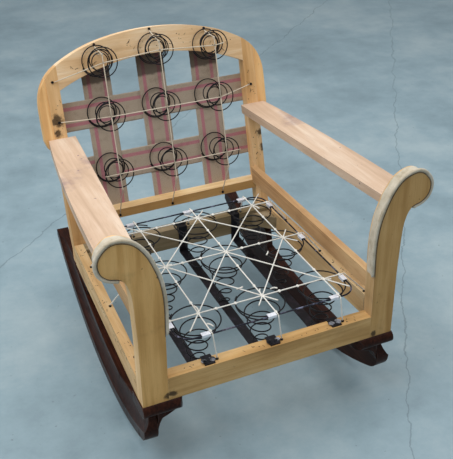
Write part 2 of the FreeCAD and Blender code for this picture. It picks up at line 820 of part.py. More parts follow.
# Twine ends from the deck down to nails in the rails
NAIL_IN = 9
NAIL_HEAD = 4
NAIL_RISE = 2.5
nail_rise = base + rail_top
end_runs = []
nail_places = []
for y in net_rows:
    for edge_x, sign in ((net_left, -1), (net_right, 1)):
        nail_places.append((sign * (rail_inner(y) + NAIL_IN), y))
        end_runs.append((Vector(edge_x + sign * 2, y, base + twine_rise), nail_places[-1]))
for x in net_columns:
    nail_places.append((x + 10, front_inside - NAIL_IN - 10))
    end_runs.append((Vector(x, net_front - 2, base + twine_rise), nail_places[-1]))
    nail_places.append((x + 10, rear_rail_front + NAIL_IN))
    end_runs.append((Vector(x, net_rear + 2, base + twine_rise), nail_places[-1]))
end_pieces = []
for start, (x, y) in end_runs:
    foot = Vector(x, y, nail_rise + NAIL_RISE + twine + 0.4)
    end_pieces.append(run(start, foot, twine))
keep(hold("seat_lashing_ends", Part.makeCompound(end_pieces)), "seat_lashing_ends")
nails = [nail(x, y, nail_rise, NAIL_HEAD, NAIL_RISE) for x, y in nail_places]

# Webbing, woven: a strip in front of the one it crosses lies on the wood
strip_thick = size("webbing_thickness")
strip_wide = size("webbing_width")
strip_rows = [size("lower_webbing"), size("upper_webbing")]
strip_columns = [-size("back_column"), 0, size("back_column")]
RAMP = 10
STRIP_REACH = 328


def strip_profile(start, end, behind):
    """Side outline of a strip that steps back at the given crossings."""
    near = [(start, depth)]
    for place in behind:
        half = strip_wide / 2 + 2
        near += [(place - half - RAMP, depth), (place - half, depth + strip_thick),
                 (place + half, depth + strip_thick), (place + half + RAMP, depth)]
    near.append((end, depth))
    far = [(place, y + strip_thick) for place, y in reversed(near)]
    return near + far


def upright_plane(v, w):
    """Profile plane of an upright strip."""
    return Vector(0, w, v)


def level_plane(x, w):
    """Profile plane of a level strip."""
    return Vector(x, w, 0)


STRIP_SHORT = 4
strip_low = up_rake(low_bottom, depth) + STRIP_SHORT
for index, (name, column) in enumerate(zip(COLUMN_NAMES, strip_columns)):
    behind = [strip_rows[(index + 1) % 2]]
    strip_high = size("crest_row") + (26 if column == 0 else 6)
    face = outline(upright_plane, *strip_profile(strip_low, strip_high, behind))
    face.translate(Vector(column - strip_wide / 2, 0, 0))
    keep(hold("webbing_upright_" + name, face.extrude(Vector(strip_wide, 0, 0)), rake_place),
         "webbing_upright_" + name)
for index, (name, row) in enumerate(zip(("lower", "upper"), strip_rows)):
    behind = [column for place, column in enumerate(strip_columns) if (place + 1) % 2 != index]
    face = outline(level_plane, *strip_profile(-STRIP_REACH, STRIP_REACH, behind))
    face.translate(Vector(0, 0, row - strip_wide / 2))
    keep(hold("webbing_level_" + name, face.extrude(Vector(0, 0, strip_wide)), rake_place),
         "webbing_level_" + name)

TACKS_ACROSS = 5
TACK_HEAD = 3.5
TACK_RISE = 1.0
TACK_INSET = 9
tacks = []
for place in range(TACKS_ACROSS):
    across = (place - (TACKS_ACROSS - 1) / 2) * strip_wide / TACKS_ACROSS
    face_w = depth + strip_thick
    for column in strip_columns:
        top = size("crest_row") + (26 if column == 0 else 6) - TACK_INSET
        for v in (strip_low + TACK_INSET, top):
            tacks.append(Part.makeCylinder(TACK_HEAD, TACK_RISE,
                                           Vector(column + across, face_w, v), Vector(0, 1, 0)))
    for row in strip_rows:
        for x in (-STRIP_REACH + TACK_INSET, STRIP_REACH - TACK_INSET):
            tacks.append(Part.makeCylinder(TACK_HEAD, TACK_RISE,
                                           Vector(x, face_w, row + across), Vector(0, 1, 0)))
keep(hold("webbing_tacks", Part.makeCompound(tacks), rake_place), "webbing_tacks")

# Back springs: hourglass coils along the back's normal
back_wire = size("back_wire")
back_ring = size("back_ring")
waist = size("back_waist")
back_front = size("back_front")
back_rows = {"lower": (size("lower_webbing"), depth), "middle": (size("upper_webbing"), depth),
             "upper": (size("crest_row"), 0.0)}
BACK_TURNS = 5
BACK_START = 200
back_gaps = []
for row_name, (level, wall) in back_rows.items():
    low = -wall + back_wire + size("seat_fit")
    span = back_front - low
    end_rise = 2 * back_wire + 1.2
    rise = (span - 2 * end_rise) / (BACK_TURNS - 2)
    radii = [back_ring, back_ring - 2, waist + 4, waist + 4, back_ring - 4, back_ring - 2]
    stations = [(0, radii[0], low), (BACK_TURNS, radii[-1], back_front)]
    stations[1:1] = [(turn, radii[turn], low + end_rise + rise * (turn - 1))
                     for turn in range(1, BACK_TURNS)]
    for column_name, column in zip(COLUMN_NAMES, strip_columns):
        row = level + (size("crest_lift") if (row_name, column) == ("upper", 0) else 0)
        shape, gap = coil(stations, BACK_START, back_wire)
        back_gaps.append(gap)
        aim = rake_place.multiply(Placement(Vector(column, 0, row),
                                            Rotation(Vector(1, 0, 0), 90)))
        label = "back_spring_%s_%s" % (row_name, column_name)
        keep(hold(label, shape, aim), label)
print("least gap inside a back spring %.2f mm" % min(back_gaps))

# Twine over the back springs
twine_w = -(back_front + back_wire + size("seat_fit") + twine)
BACK_KNOT = 3.0
back_knots = []
back_runs = []


def back_point(x, w, v):
    """Point in the raked frame."""
    return Vector(x, w, v)


def back_line(points):
    """Runs along a list of raked points."""
    back_runs.extend(zip(points, points[1:]))
    back_knots.extend((point, BACK_KNOT) for point in points[1:-1]
                      if all((point - knot).Length > 0.01 for knot, _ in back_knots))


LOW_END = 12
low_end = up_rake(low_top, 0) - LOW_END
COLUMN_TOPS = (470, 492, 470)
ends_w = -twine - 0.6
row_levels = [value[0] for value in back_rows.values()]
crest_levels = [row_levels[2] + (size("crest_lift") if column == 0 else 0)
                for column in strip_columns]
for column, top, crest_level in zip(strip_columns, COLUMN_TOPS, crest_levels):
    ring_top = crest_level + 24
    back_line([back_point(column, ends_w, top), back_point(column, twine_w, ring_top)]
              + [back_point(column, twine_w, level)
                 for level in (crest_level, row_levels[1], row_levels[0])]
              + [back_point(column, twine_w, row_levels[0] - back_ring),
                 back_point(column, ends_w, low_end)])
POST_END = post_inner + 12
back_line([back_point(-POST_END, ends_w, row_levels[2] - 42)]
          + [back_point(column, twine_w, level)
             for column, level in zip(strip_columns, crest_levels)]
          + [back_point(strip_columns[2] + 30, twine_w, row_levels[2] + 4)])
back_line([back_point(-POST_END, ends_w, row_levels[1] - 4)]
          + [back_point(column, twine_w, row_levels[1]) for column in strip_columns]
          + [back_point(POST_END, ends_w, row_levels[1] + 10)])
back_line([back_point(strip_columns[0] - back_ring, twine_w, row_levels[0])]
          + [back_point(column, twine_w, row_levels[0]) for column in strip_columns]
          + [back_point(strip_columns[2] + back_ring, twine_w, row_levels[0])])
keep(hold("back_lashing", lashing(back_runs, back_knots, twine), rake_place),
     "back_lashing")

# Nails that hold the twine
back_nails = []
for column, top in zip(strip_columns, COLUMN_TOPS):
    back_nails.append((column, 0.0, top + NAIL_HEAD + 2.2))
    back_nails.append((column, 0.0, low_end - NAIL_HEAD - 2.2))
back_nails.append((-POST_END - NAIL_HEAD - 2.2, 0.0, row_levels[2] - 42))
back_nails.append((-POST_END - NAIL_HEAD - 2.2, 0.0, row_levels[1] - 4))
back_nails.append((POST_END + NAIL_HEAD + 2.2, 0.0, row_levels[1] + 10))
for x, w, v in back_nails:
    head = Part.makeCylinder(NAIL_HEAD, NAIL_RISE, Vector(x, w, v), Vector(0, -1, 0))
    head.Placement = rake_place
    nails.append(head)
keep(hold("lashing_nails", Part.makeCompound(nails)), "lashing_nails")

# Move the pieces to the origin; mirrored ones and the bound box follow by themselves
doc.recompute()
to_origin = Placement(Vector(0, -contact, 0), Rotation())
for item in nodes:
    if item.TypeId not in ("Part::Mirroring", "Part::Box"):
        item.Placement = to_origin.multiply(item.Placement)
doc.recompute()

# Check everything, then write one file for each sub-part
for item in doc.Objects:
    if "Invalid" in item.State or "Error" in item.State:
        raise RuntimeError("%s is in state %s" % (item.Label, item.State))
for item in nodes:
    if item.Shape.isNull() or not item.Shape.isValid():
        raise RuntimeError("%s has no valid shape" % item.Label)
for item in nodes:
    item.Shape.exportStep("parts/%s.step" % item.Label)
print("%d sub-parts written" % len(nodes))
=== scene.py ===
"""Scene of a stripped rocking armchair: bare frame, coil springs, webbing and twine.

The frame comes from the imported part. Hard pieces keep their own meshes and get
procedural materials. Springs, webbing, twine and edge rolls are made here in
more detail, in the places that their plain solids hold.
"""

import logging
import math
import random
from collections.abc import Callable
from dataclasses import dataclass, field
from enum import Enum

import bpy
from mathutils import Matrix, Vector

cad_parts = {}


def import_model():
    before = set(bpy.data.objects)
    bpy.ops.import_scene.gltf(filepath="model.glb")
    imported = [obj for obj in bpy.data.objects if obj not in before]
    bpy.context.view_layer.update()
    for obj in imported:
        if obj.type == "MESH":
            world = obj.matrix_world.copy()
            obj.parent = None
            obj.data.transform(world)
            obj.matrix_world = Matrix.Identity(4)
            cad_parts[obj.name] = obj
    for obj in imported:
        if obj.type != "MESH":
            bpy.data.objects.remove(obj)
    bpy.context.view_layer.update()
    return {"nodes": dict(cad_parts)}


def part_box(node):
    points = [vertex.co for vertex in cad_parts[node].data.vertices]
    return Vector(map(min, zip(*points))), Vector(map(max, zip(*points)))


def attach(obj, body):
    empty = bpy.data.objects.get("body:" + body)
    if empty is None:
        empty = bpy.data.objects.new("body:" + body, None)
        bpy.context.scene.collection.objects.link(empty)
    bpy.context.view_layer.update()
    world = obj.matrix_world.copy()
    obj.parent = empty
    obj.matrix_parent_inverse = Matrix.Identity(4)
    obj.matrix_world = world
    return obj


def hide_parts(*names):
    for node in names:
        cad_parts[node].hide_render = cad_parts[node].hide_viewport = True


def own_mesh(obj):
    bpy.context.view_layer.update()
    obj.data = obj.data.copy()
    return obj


MM = 0.001
LOG = logging.getLogger("rocking_armchair")

# Driving sizes of the frame, in metres, in its own axes
FRONT_FACE = -430 * MM
UNDERSIDE = 224 * MM
RAIL_TOP = 294 * MM
RAKE = math.radians(14)
RAKE_Y = 738 * MM + FRONT_FACE
RAKE_Z = 180 * MM + UNDERSIDE
POST_BACK = 40 * MM + FRONT_FACE
REAR_FACE = 697 * MM + FRONT_FACE
RAIL_FRONT_HALF = 363 * MM
RAIL_REAR_HALF = 338 * MM
RAIL_THICK = 28 * MM
LOW_RAIL_TOP = 144 * MM + UNDERSIDE

# Seat unit
SPRING_COLUMNS = (-178 * MM, 6 * MM, 190 * MM)
SPRING_ROWS = (98 * MM + FRONT_FACE, 335 * MM + FRONT_FACE, 546 * MM + FRONT_FACE)
BAR_TOP = UNDERSIDE - 16 * MM
DECK = 147 * MM + UNDERSIDE
NAIL_TOP = UNDERSIDE + 74.4 * MM

# Back, measured across it and up its slope from the start of the rake
BACK_COLUMNS = (-176 * MM, 0.0, 176 * MM)
BACK_ROWS = (94 * MM, 269 * MM, 428 * MM)
BACK_DEPTH = 36 * MM
CREST_LIFT = 12 * MM
COLUMN_TOPS = (470 * MM, 492 * MM, 470 * MM)
LOW_TWINE = (LOW_RAIL_TOP - RAKE_Z) / math.cos(RAKE) - 12 * MM

# Air between a made piece and the one it lies on, and one unit of a tube's UV along it
CLEAR = 0.35 * MM
UV_LENGTH = 3 * MM

# What may feed a node's input: a node's first output, a socket, a value or a hex colour
Feed = bpy.types.Node | bpy.types.NodeSocket | float | str

SIDES = ("left", "right")
COLUMN_NAMES = ("left", "middle", "right")
SEAT_ROW_NAMES = ("front", "middle", "rear")
BACK_ROW_NAMES = ("lower", "middle", "upper")


class Axis(Enum):
    """Direction of a board's grain in the frame."""

    X = 0
    Y = 1
    Z = 2


def linear(code: str) -> tuple[float, float, float, float]:
    """Turn an sRGB hex colour into the linear colour that nodes use.

    Args:
        code: Six hex digits.
    Returns:
        Red, green, blue and an alpha of one.
    """
    channels = []
    for start in (0, 2, 4):
        value = int(code[start:start + 2], 16) / 255
        channels.append(value / 12.92 if value <= 0.04045 else ((value + 0.055) / 1.055) ** 2.4)
    return (channels[0], channels[1], channels[2], 1.0)


def rail_outer(y: float) -> float:
    """Give the outer face of the right side rail.

    Args:
        y: Place along the chair.
    Returns:
        Its distance from the middle.
    """
    share = (y - POST_BACK) / (REAR_FACE - POST_BACK)
    return RAIL_FRONT_HALF + (RAIL_REAR_HALF - RAIL_FRONT_HALF) * share


def raked(x: float, out: float, up: float) -> Vector:
    """Give a point of the raked back.

    Args:
        x: Place across the chair.
        out: Distance behind the back's front plane; negative is in front of it.
        up: Distance up the slope from the rake's start.
    Returns:
        The point in the frame.
    """
    return Vector((x, RAKE_Y + out * math.cos(RAKE) + up * math.sin(RAKE),
                   RAKE_Z - out * math.sin(RAKE) + up * math.cos(RAKE)))


def add_node(tree: bpy.types.NodeTree, kind: str, inputs: dict | None = None,
             stops: tuple = (), **settings) -> bpy.types.Node:
    """Add a node to a tree, with its settings, its values and its links.

    Args:
        tree: Tree of a material or of a modifier.
        kind: Node type.
        inputs: What each open input gets, by its name or index: a value, a hex
            colour, a socket, or a node, whose first open output is meant.
        stops: Places and hex colours, where the node has a colour ramp.
        settings: Attributes of the node itself.
    Returns:
        The new node.
    """
    node = tree.nodes.new(kind)
    for key, value in settings.items():
        setattr(node, key, value)
    for index, (place, code) in enumerate(stops):
        elements = node.color_ramp.elements
        element = elements[index] if index < len(elements) else elements.new(place)
        element.position = place
        element.color = linear(code)
    sockets = [socket for socket in node.inputs if socket.enabled]
    named = {socket.name: socket for socket in sockets}
    for key, value in (inputs or {}).items():
        socket = sockets[key] if isinstance(key, int) else named[key]
        if isinstance(value, bpy.types.Node):
            value = next(output for output in value.outputs if output.enabled)
        if isinstance(value, bpy.types.NodeSocket):
            tree.links.new(value, socket)
        else:
            socket.default_value = linear(value) if isinstance(value, str) else value
    return node


class Graph:
    """The node tree of one material."""

    def __init__(self, name: str) -> None:
        """Start an empty material.

        Args:
            name: Name of the real material.
        """
        self.material = bpy.data.materials.new(name)
        self.material.use_nodes = True
        self.material.node_tree.nodes.clear()

    def node(self, kind: str, inputs: dict | None = None, stops: tuple = (),
             **settings) -> bpy.types.Node:
        """Add a shader node; kind goes without its prefix, the rest is as in add_node."""
        return add_node(self.material.node_tree, "ShaderNode" + kind, inputs, stops, **settings)

    def layer(self, under: Feed, pattern: Feed, low: float, high: float, colour: str,
              share: Feed = 1.0, blend: str = "MIX") -> bpy.types.Node:
        """Lay a colour where a pattern goes from a low to a high value.

        Args:
            under: Colour so far.
            pattern: What decides where it lies.
            low: Value at which nothing of the colour shows.
            high: Value at which all of its share shows.
            colour: The hex colour that is laid on.
            share: How much of it covers at most.
            blend: How it is laid on.
        Returns:
            The node that gives the new colour.
        """
        cover = self.node("MapRange", {"Value": pattern, "From Min": low, "From Max": high,
                                       "To Max": share}, interpolation_type="SMOOTHSTEP")
        return self.node("Mix", {"Factor": cover, "A": under, "B": colour},
                         data_type="RGBA", blend_type=blend)

    def edges(self, radius: float) -> tuple[bpy.types.Node, bpy.types.Node]:
        """Find the sharp edges, where a rounded normal leaves the true one.

        Args:
            radius: Radius of the rounding.
        Returns:
            The rounded normal, and how near it is to the true one, at most one.
        """
        true = self.node("NewGeometry").outputs["True Normal"]
        rounded = self.node("Bevel", {"Radius": radius}, samples=4)
        match = self.node("VectorMath", {0: true, 1: rounded}, operation="DOT_PRODUCT")
        return rounded, match

    def finish(self, **inputs) -> bpy.types.Material:
        """Close the tree with its surface and output.

        Args:
            inputs: Inputs of the surface, with underscores for spaces.
        Returns:
            The finished material.
        """
        named = {key.replace("_", " "): value for key, value in inputs.items()}
        shader = self.node("BsdfPrincipled", named)
        self.node("OutputMaterial", {"Surface": shader})
        return self.material


@dataclass(frozen=True)
class BareWood:
    """Planed light hardwood that was never varnished, only covered with upholstery.

    The eye gets a matt, warm surface with soft growth bands and open pores, paler
    on its softened edges from wear and a painted highlight, darker on faces that
    look to the front from painted shade, with blotches, small spots and a few dark
    stains at known places.
    """

    name: str
    axis: Axis
    pale: str
    mid: str
    dark: str
    stain: str = "6A5236"
    stain_share: float = 0.5
    lean: float = 0.0
    # Colour multiplied onto faces that look to the front: painted shade
    front: str = "FFFFFF"
    marks: tuple[tuple[float, float, float, float], ...] = ()
    band: float = 23.81 * MM
    pore: float = 2.381 * MM  # real pores are a tenth of that, too fine for the picture
    cloud: float = 200 * MM
    blotch: float = 142.86 * MM
    spot: float = 14.286 * MM
    stretch: float = 0.06
    softened: float = 1.6 * MM
    # Width of the softened edges laid paler: wear and a painted highlight
    worn: float = 2.5 * MM

    def build(self) -> bpy.types.Material:
        """Make the material.

        Returns:
            The material.
        """
        g = Graph(self.name)
        place = g.node("TexCoord").outputs["Object"]
        pick = g.node("ObjectInfo").outputs["Random"]
        shift = g.node("VectorMath", {0: (7.0, 3.0, 5.0), "Scale": pick}, operation="SCALE")
        board = g.node("VectorMath", {0: place, 1: shift}, operation="ADD")
        turned = g.node("Mapping", {"Vector": board, "Rotation": (self.lean, 0.0, 0.0)})
        squeeze = [1.0, 1.0, 1.0]
        squeeze[self.axis.value] = self.stretch
        along = g.node("Mapping", {"Vector": turned, "Scale": squeeze})
        cloud = g.node("TexNoise", {"Vector": board, "Scale": 1 / self.cloud, "Detail": 2.0,
                                    "Roughness": 0.55})
        growth = g.node("TexNoise", {"Vector": along, "Scale": 1 / self.band, "Detail": 3.0,
                                     "Roughness": 0.5, "Distortion": 0.6})
        fibre = g.node("TexNoise", {"Vector": along, "Scale": 1 / self.pore, "Detail": 5.0,
                                    "Roughness": 0.7})
        tone = g.node("Mix", {"Factor": 0.4, "A": growth, "B": cloud})
        colour = g.node("ValToRGB", {0: tone},
                        ((0.34, self.pale), (0.5, self.mid), (0.68, self.dark)))
        colour = g.layer(colour, fibre, 0.48, 0.72, self.dark, 0.4)
        blotch = g.node("TexNoise", {"Vector": board, "Scale": 1 / self.blotch, "Detail": 5.0,
                                     "Roughness": 0.62})
        colour = g.layer(colour, blotch, 0.54, 0.78, self.stain, 0.45 * self.stain_share)
        spots = g.node("TexNoise", {"Vector": board, "Scale": 1 / self.spot, "Detail": 3.0,
                                    "Roughness": 0.5})
        colour = g.layer(colour, spots, 0.69, 0.77, self.stain, 0.6 * self.stain_share)
        tint = g.node("Math", {0: pick, 1: 0.1, 2: 0.95}, operation="MULTIPLY_ADD")
        colour = g.node("HueSaturation", {"Color": colour, "Value": tint})
        # Painted shade: faces that look to the front are darkened by the front colour
        true = g.node("NewGeometry").outputs["True Normal"]
        toward = g.node("SeparateXYZ", {0: true}).outputs["Y"]
        colour = g.layer(colour, toward, -0.7, -0.95, self.front, blend="MULTIPLY")
        # Softened edges laid paler: wear and a painted highlight
        colour = g.layer(colour, g.edges(self.worn)[1], 0.985, 0.86, self.pale, 0.3)
        colour = self._marked(g, place, colour)
        rounded = g.node("Bevel", {"Radius": self.softened}, samples=4)
        normal = g.node("Bump", {"Height": fibre, "Strength": 0.3, "Distance": 0.3 * MM,
                                 "Normal": rounded})
        normal = g.node("Bump", {"Height": growth, "Strength": 0.2, "Distance": 0.6 * MM,
                                 "Normal": normal})
        rough = g.node("Math", {0: fibre, 1: 0.25, 2: 0.5}, operation="MULTIPLY_ADD")
        return g.finish(Base_Color=colour, Roughness=rough, Normal=normal, Specular_IOR_Level=0.25)

    def _marked(self, g: Graph, place: bpy.types.NodeSocket,
                colour: bpy.types.Node) -> bpy.types.Node:
        """Add the dark stains that lie at known places, with ragged edges.

        Args:
            g: Graph of the material.
            place: Coordinates socket.
            colour: Colour so far.
        Returns:
            The node that gives the colour.
        """
        for x, y, z, reach in self.marks:
            away = g.node("VectorMath", {0: place, 1: (x, y, z)}, operation="DISTANCE")
            fray = g.node("TexNoise", {"Vector": place, "Scale": 1 / (16.667 * MM), "Detail": 5.0,
                                       "Roughness": 0.65})
            # The noise lies about a half, which adds 1.1 of the reach to both limits
            ragged = g.node("Math", {0: fray, 1: 2.2 * reach, 2: away}, operation="MULTIPLY_ADD")
            colour = g.layer(colour, ragged, 2.1 * reach, 1.5 * reach, "2B2118", 0.85)
        return colour


@dataclass(frozen=True)
class PolishedMahogany:
    """Mahogany show wood, stained dark red-brown and polished, now slightly dulled.

    The eye gets deep tone with faint veins, soft gloss that gathers on the
    rounded edges, some dust in it, and lighter wood where edges are rubbed.
    """

    name: str = "polished_mahogany"
    vein: float = 6.25 * MM
    cloud: float = 111.11 * MM
    dust: float = 33.333 * MM
    stretch: float = 0.05
    rounding: float = 3.0 * MM

    def build(self) -> bpy.types.Material:
        """Make the material.

        Returns:
            The material.
        """
        g = Graph(self.name)
        place = g.node("TexCoord").outputs["Object"]
        along = g.node("Mapping", {"Vector": place, "Scale": (1.0, self.stretch, 1.0)})
        grain = g.node("TexNoise", {"Vector": along, "Scale": 1 / self.vein, "Detail": 6.0,
                                    "Roughness": 0.65})
        cloud = g.node("TexNoise", {"Vector": place, "Scale": 1 / self.cloud, "Detail": 4.0,
                                    "Roughness": 0.55})
        dust = g.node("TexNoise", {"Vector": place, "Scale": 1 / self.dust, "Detail": 5.0,
                                   "Roughness": 0.6})
        tone = g.node("Mix", {"Factor": 0.3, "A": grain, "B": cloud})
        colour = g.node("ValToRGB", {0: tone},
                        ((0.34, "1A0B07"), (0.52, "31170E"), (0.7, "492619")))
        rounded, match = g.edges(self.rounding)
        rubbed = g.node("MapRange", {"Value": cloud, "From Min": 0.42, "From Max": 0.6,
                                     "To Max": 0.4}, interpolation_type="SMOOTHSTEP")
        colour = g.layer(colour, match, 0.98, 0.85, "7A4C36", rubbed)
        rough, coat_rough = (
            g.node("MapRange", {"Value": dust, "From Min": 0.5, "From Max": 0.8,
                                "To Min": clean, "To Max": dusty}, interpolation_type="SMOOTHSTEP")
            for clean, dusty in ((0.34, 0.62), (0.06, 0.26)))
        coat = g.node("MapRange", {"Value": match, "From Min": 0.99, "From Max": 0.9,
                                   "To Min": 0.14, "To Max": 0.94},
                      interpolation_type="SMOOTHSTEP")
        normal = g.node("Bump", {"Height": grain, "Strength": 0.15, "Distance": 0.25 * MM,
                                 "Normal": rounded})
        return g.finish(Base_Color=colour, Roughness=rough, Normal=normal,
                        Specular_IOR_Level=0.05, Coat_Weight=coat, Coat_Roughness=coat_rough,
                        Coat_Normal=rounded)


@dataclass(frozen=True)
class StripedWebbing:
    """Jute webbing woven with two rose stripes; its UV runs in millimetres.

    The eye gets a coarse, dull, hairy weave with uneven threads, faded stripes
    and soil, and a painted shadow, nearly black, on strips that lie under the crest.
    """

    name: str = "striped_jute_webbing"
    # Painted shadow of the crest: where it starts along the strip's run
    crest_shadow_start: float | None = None  # where the strip turns dark, along its run
    stripe_place: float = 25.0
    stripe_half: float = 5.5
    warp_thread: float = 1.9
    weft_thread: float = 2.3
    hair: float = 0.7143
    stain: float = 50.0

    def build(self) -> bpy.types.Material:
        """Make the material.

        Returns:
            The material.
        """
        g = Graph(self.name)
        strand = g.node("UVMap", uv_map="strand").outputs["UV"]
        across, along = g.node("SeparateXYZ", {0: strand}).outputs[:2]
        threads = []
        for run, pitch in ((across, self.warp_thread), (along, self.weft_thread)):
            turn = g.node("Math", {0: run, 1: math.pi / pitch}, operation="MULTIPLY")
            wave = g.node("Math", {0: turn}, operation="SINE")
            threads.append(g.node("Math", {0: wave}, operation="ABSOLUTE"))
        weave = g.node("Math", {0: threads[0], 1: threads[1]}, operation="MULTIPLY")
        fuzz = g.node("TexNoise", {"Vector": strand, "Scale": 1 / self.hair, "Detail": 5.0,
                                   "Roughness": 0.7})
        cloth = g.node("ValToRGB", {0: fuzz}, ((0.3, "A18C79"), (0.5, "C2AE99"), (0.7, "D6C4B1")))
        dyed = g.node("ValToRGB", {0: fuzz}, ((0.3, "A7626B"), (0.5, "CB858D"), (0.7, "D5A0A3")))
        colour = g.node("Mix", {"Factor": self._stripe(g, strand, across), "A": cloth, "B": dyed},
                        data_type="RGBA")
        # Painted shade in the hollows between the threads
        colour = g.layer(colour, weave, 0.35, 0.0, "5F5040", 0.45)
        soil = g.node("TexNoise", {"Vector": strand, "Scale": 1 / self.stain, "Detail": 4.0,
                                   "Roughness": 0.6})
        colour = g.layer(colour, soil, 0.5, 0.72, "7C6A58", 0.35)
        if self.crest_shadow_start is not None:
            # Painted shadow of the crest on the strip's upper end, with a ragged edge
            edge = g.node("TexNoise", {"Vector": strand, "Scale": 1 / 16.667, "Detail": 4.0,
                                       "Roughness": 0.55})
            ragged = g.node("Math", {0: edge, 1: 14.0, 2: along}, operation="MULTIPLY_ADD")
            colour = g.layer(colour, ragged, self.crest_shadow_start, self.crest_shadow_start + 10, "3E352E", 0.75)
        normal = g.node("Bump", {"Height": weave, "Strength": 0.7, "Distance": 0.5 * MM})
        normal = g.node("Bump", {"Height": fuzz, "Strength": 0.3, "Distance": 0.4 * MM,
                                 "Normal": normal})
        return g.finish(Base_Color=colour, Roughness=0.92, Normal=normal, Sheen_Weight=0.25,
                        Specular_IOR_Level=0.15)

    def _stripe(self, g: Graph, strand: bpy.types.NodeSocket,
                across: bpy.types.NodeSocket) -> bpy.types.Node:
        """Find the two stripes, whose edges wander a little.

        Args:
            g: Graph of the material.
            strand: UV socket.
            across: Place across the strip.
        Returns:
            A node that is one inside the stripes.
        """
        out = g.node("Math", {0: across}, operation="ABSOLUTE")
        aside = g.node("Math", {0: out, 1: self.stripe_place}, operation="SUBTRACT")
        away = g.node("Math", {0: aside}, operation="ABSOLUTE")
        wander = g.node("TexNoise", {"Vector": strand, "Scale": 1 / 8.3333, "Detail": 2.0,
                                     "Roughness": 0.55})
        place = g.node("Math", {0: wander, 1: -1.6, 2: away}, operation="MULTIPLY_ADD")
        return g.node("MapRange", {"Value": place, "From Min": self.stripe_half,
                                   "From Max": self.stripe_half - 1.5},
                      interpolation_type="SMOOTHSTEP")


@dataclass(frozen=True)
class LaidTwine:
    """Flax twine laid from three strands; its UV runs once round it, and along it.

    The eye gets a pale dull cord with dark lines of painted shade between its strands,
    fine hairs and grey patches where it was handled.
    """

    name: str
    pale: str = "F7F4EC"
    dark: str = "C6BEAC"
    strands: int = 3
    slant: float = 0.42  # turns of the lay for one unit of UV along the twine
    hair: float = 0.3846 * MM
    patch: float = 45.455 * MM

    def build(self) -> bpy.types.Material:
        """Make the material.

        Returns:
            The material.
        """
        g = Graph(self.name)
        place = g.node("TexCoord").outputs["Object"]
        strand = g.node("UVMap", uv_map="strand")
        around, along = g.node("SeparateXYZ", {0: strand}).outputs[:2]
        twist = g.node("Math", {0: along, 1: self.slant, 2: around}, operation="MULTIPLY_ADD")
        turn = g.node("Math", {0: twist, 1: math.pi * self.strands}, operation="MULTIPLY")
        wave = g.node("Math", {0: turn}, operation="SINE")
        lay = g.node("Math", {0: wave}, operation="ABSOLUTE")
        hairs = g.node("TexNoise", {"Vector": place, "Scale": 1 / self.hair, "Detail": 3.0,
                                    "Roughness": 0.7})
        tone = g.node("Mix", {"Factor": 0.4, "A": lay, "B": hairs})
        # Darker in the grooves between the strands: painted shade
        colour = g.node("ValToRGB", {0: tone}, ((0.12, self.dark), (0.5, self.pale)))
        grime = g.node("TexNoise", {"Vector": place, "Scale": 1 / self.patch, "Detail": 3.0,
                                    "Roughness": 0.55})
        colour = g.layer(colour, grime, 0.5, 0.7, "9A8F7C", 0.18)
        normal = g.node("Bump", {"Height": lay, "Strength": 0.9, "Distance": 0.5 * MM})
        normal = g.node("Bump", {"Height": hairs, "Strength": 0.3, "Distance": 0.15 * MM,
                                 "Normal": normal})
        return g.finish(Base_Color=colour, Roughness=0.85, Normal=normal, Sheen_Weight=0.2,
                        Specular_IOR_Level=0.2)


@dataclass(frozen=True)
class Steel:
    """Drawn or rolled steel, japanned black, blued or bright.

    The eye gets a smooth skin with a broken gloss, a second tone where the
    finish has worn through, bright on the edge wire and washers as a painted
    highlight too, and brown patches of rust that take the shine away.
    """

    name: str
    base: str
    worn: str
    rust: str = "5A3423"
    metallic: float = 0.6
    roughness: float = 0.38
    rust_share: float = 0.3
    wear: float = 26.316 * MM
    bloom: float = 47.619 * MM
    grit: float = 1.4286 * MM  # real pits are finer than a pixel

    def build(self) -> bpy.types.Material:
        """Make the material.

        Returns:
            The material.
        """
        g = Graph(self.name)
        place = g.node("TexCoord").outputs["Object"]
        cloud = g.node("TexNoise", {"Vector": place, "Scale": 1 / self.wear, "Detail": 5.0,
                                    "Roughness": 0.65})
        fine = g.node("TexNoise", {"Vector": place, "Scale": 1 / self.grit, "Detail": 3.0,
                                   "Roughness": 0.6})
        bloom = g.node("TexNoise", {"Vector": place, "Scale": 1 / self.bloom, "Detail": 4.0,
                                    "Roughness": 0.7})
        rusted = g.node("MapRange", {"Value": bloom, "From Min": 0.56, "From Max": 0.7,
                                     "To Max": self.rust_share}, interpolation_type="SMOOTHSTEP")
        colour = g.layer(self.base, cloud, 0.5, 0.66, self.worn)
        colour = g.node("Mix", {"Factor": rusted, "A": colour, "B": self.rust}, data_type="RGBA")
        rough = g.node("Math", {0: fine, 1: 0.3, 2: self.roughness - 0.1},
                       operation="MULTIPLY_ADD")
        metal = g.node("Math", {0: rusted, 1: -self.metallic, 2: self.metallic},
                       operation="MULTIPLY_ADD")
        normal = g.node("Bump", {"Height": fine, "Strength": 0.2, "Distance": 0.1 * MM})
        return g.finish(Base_Color=colour, Roughness=rough, Metallic=metal, Normal=normal)


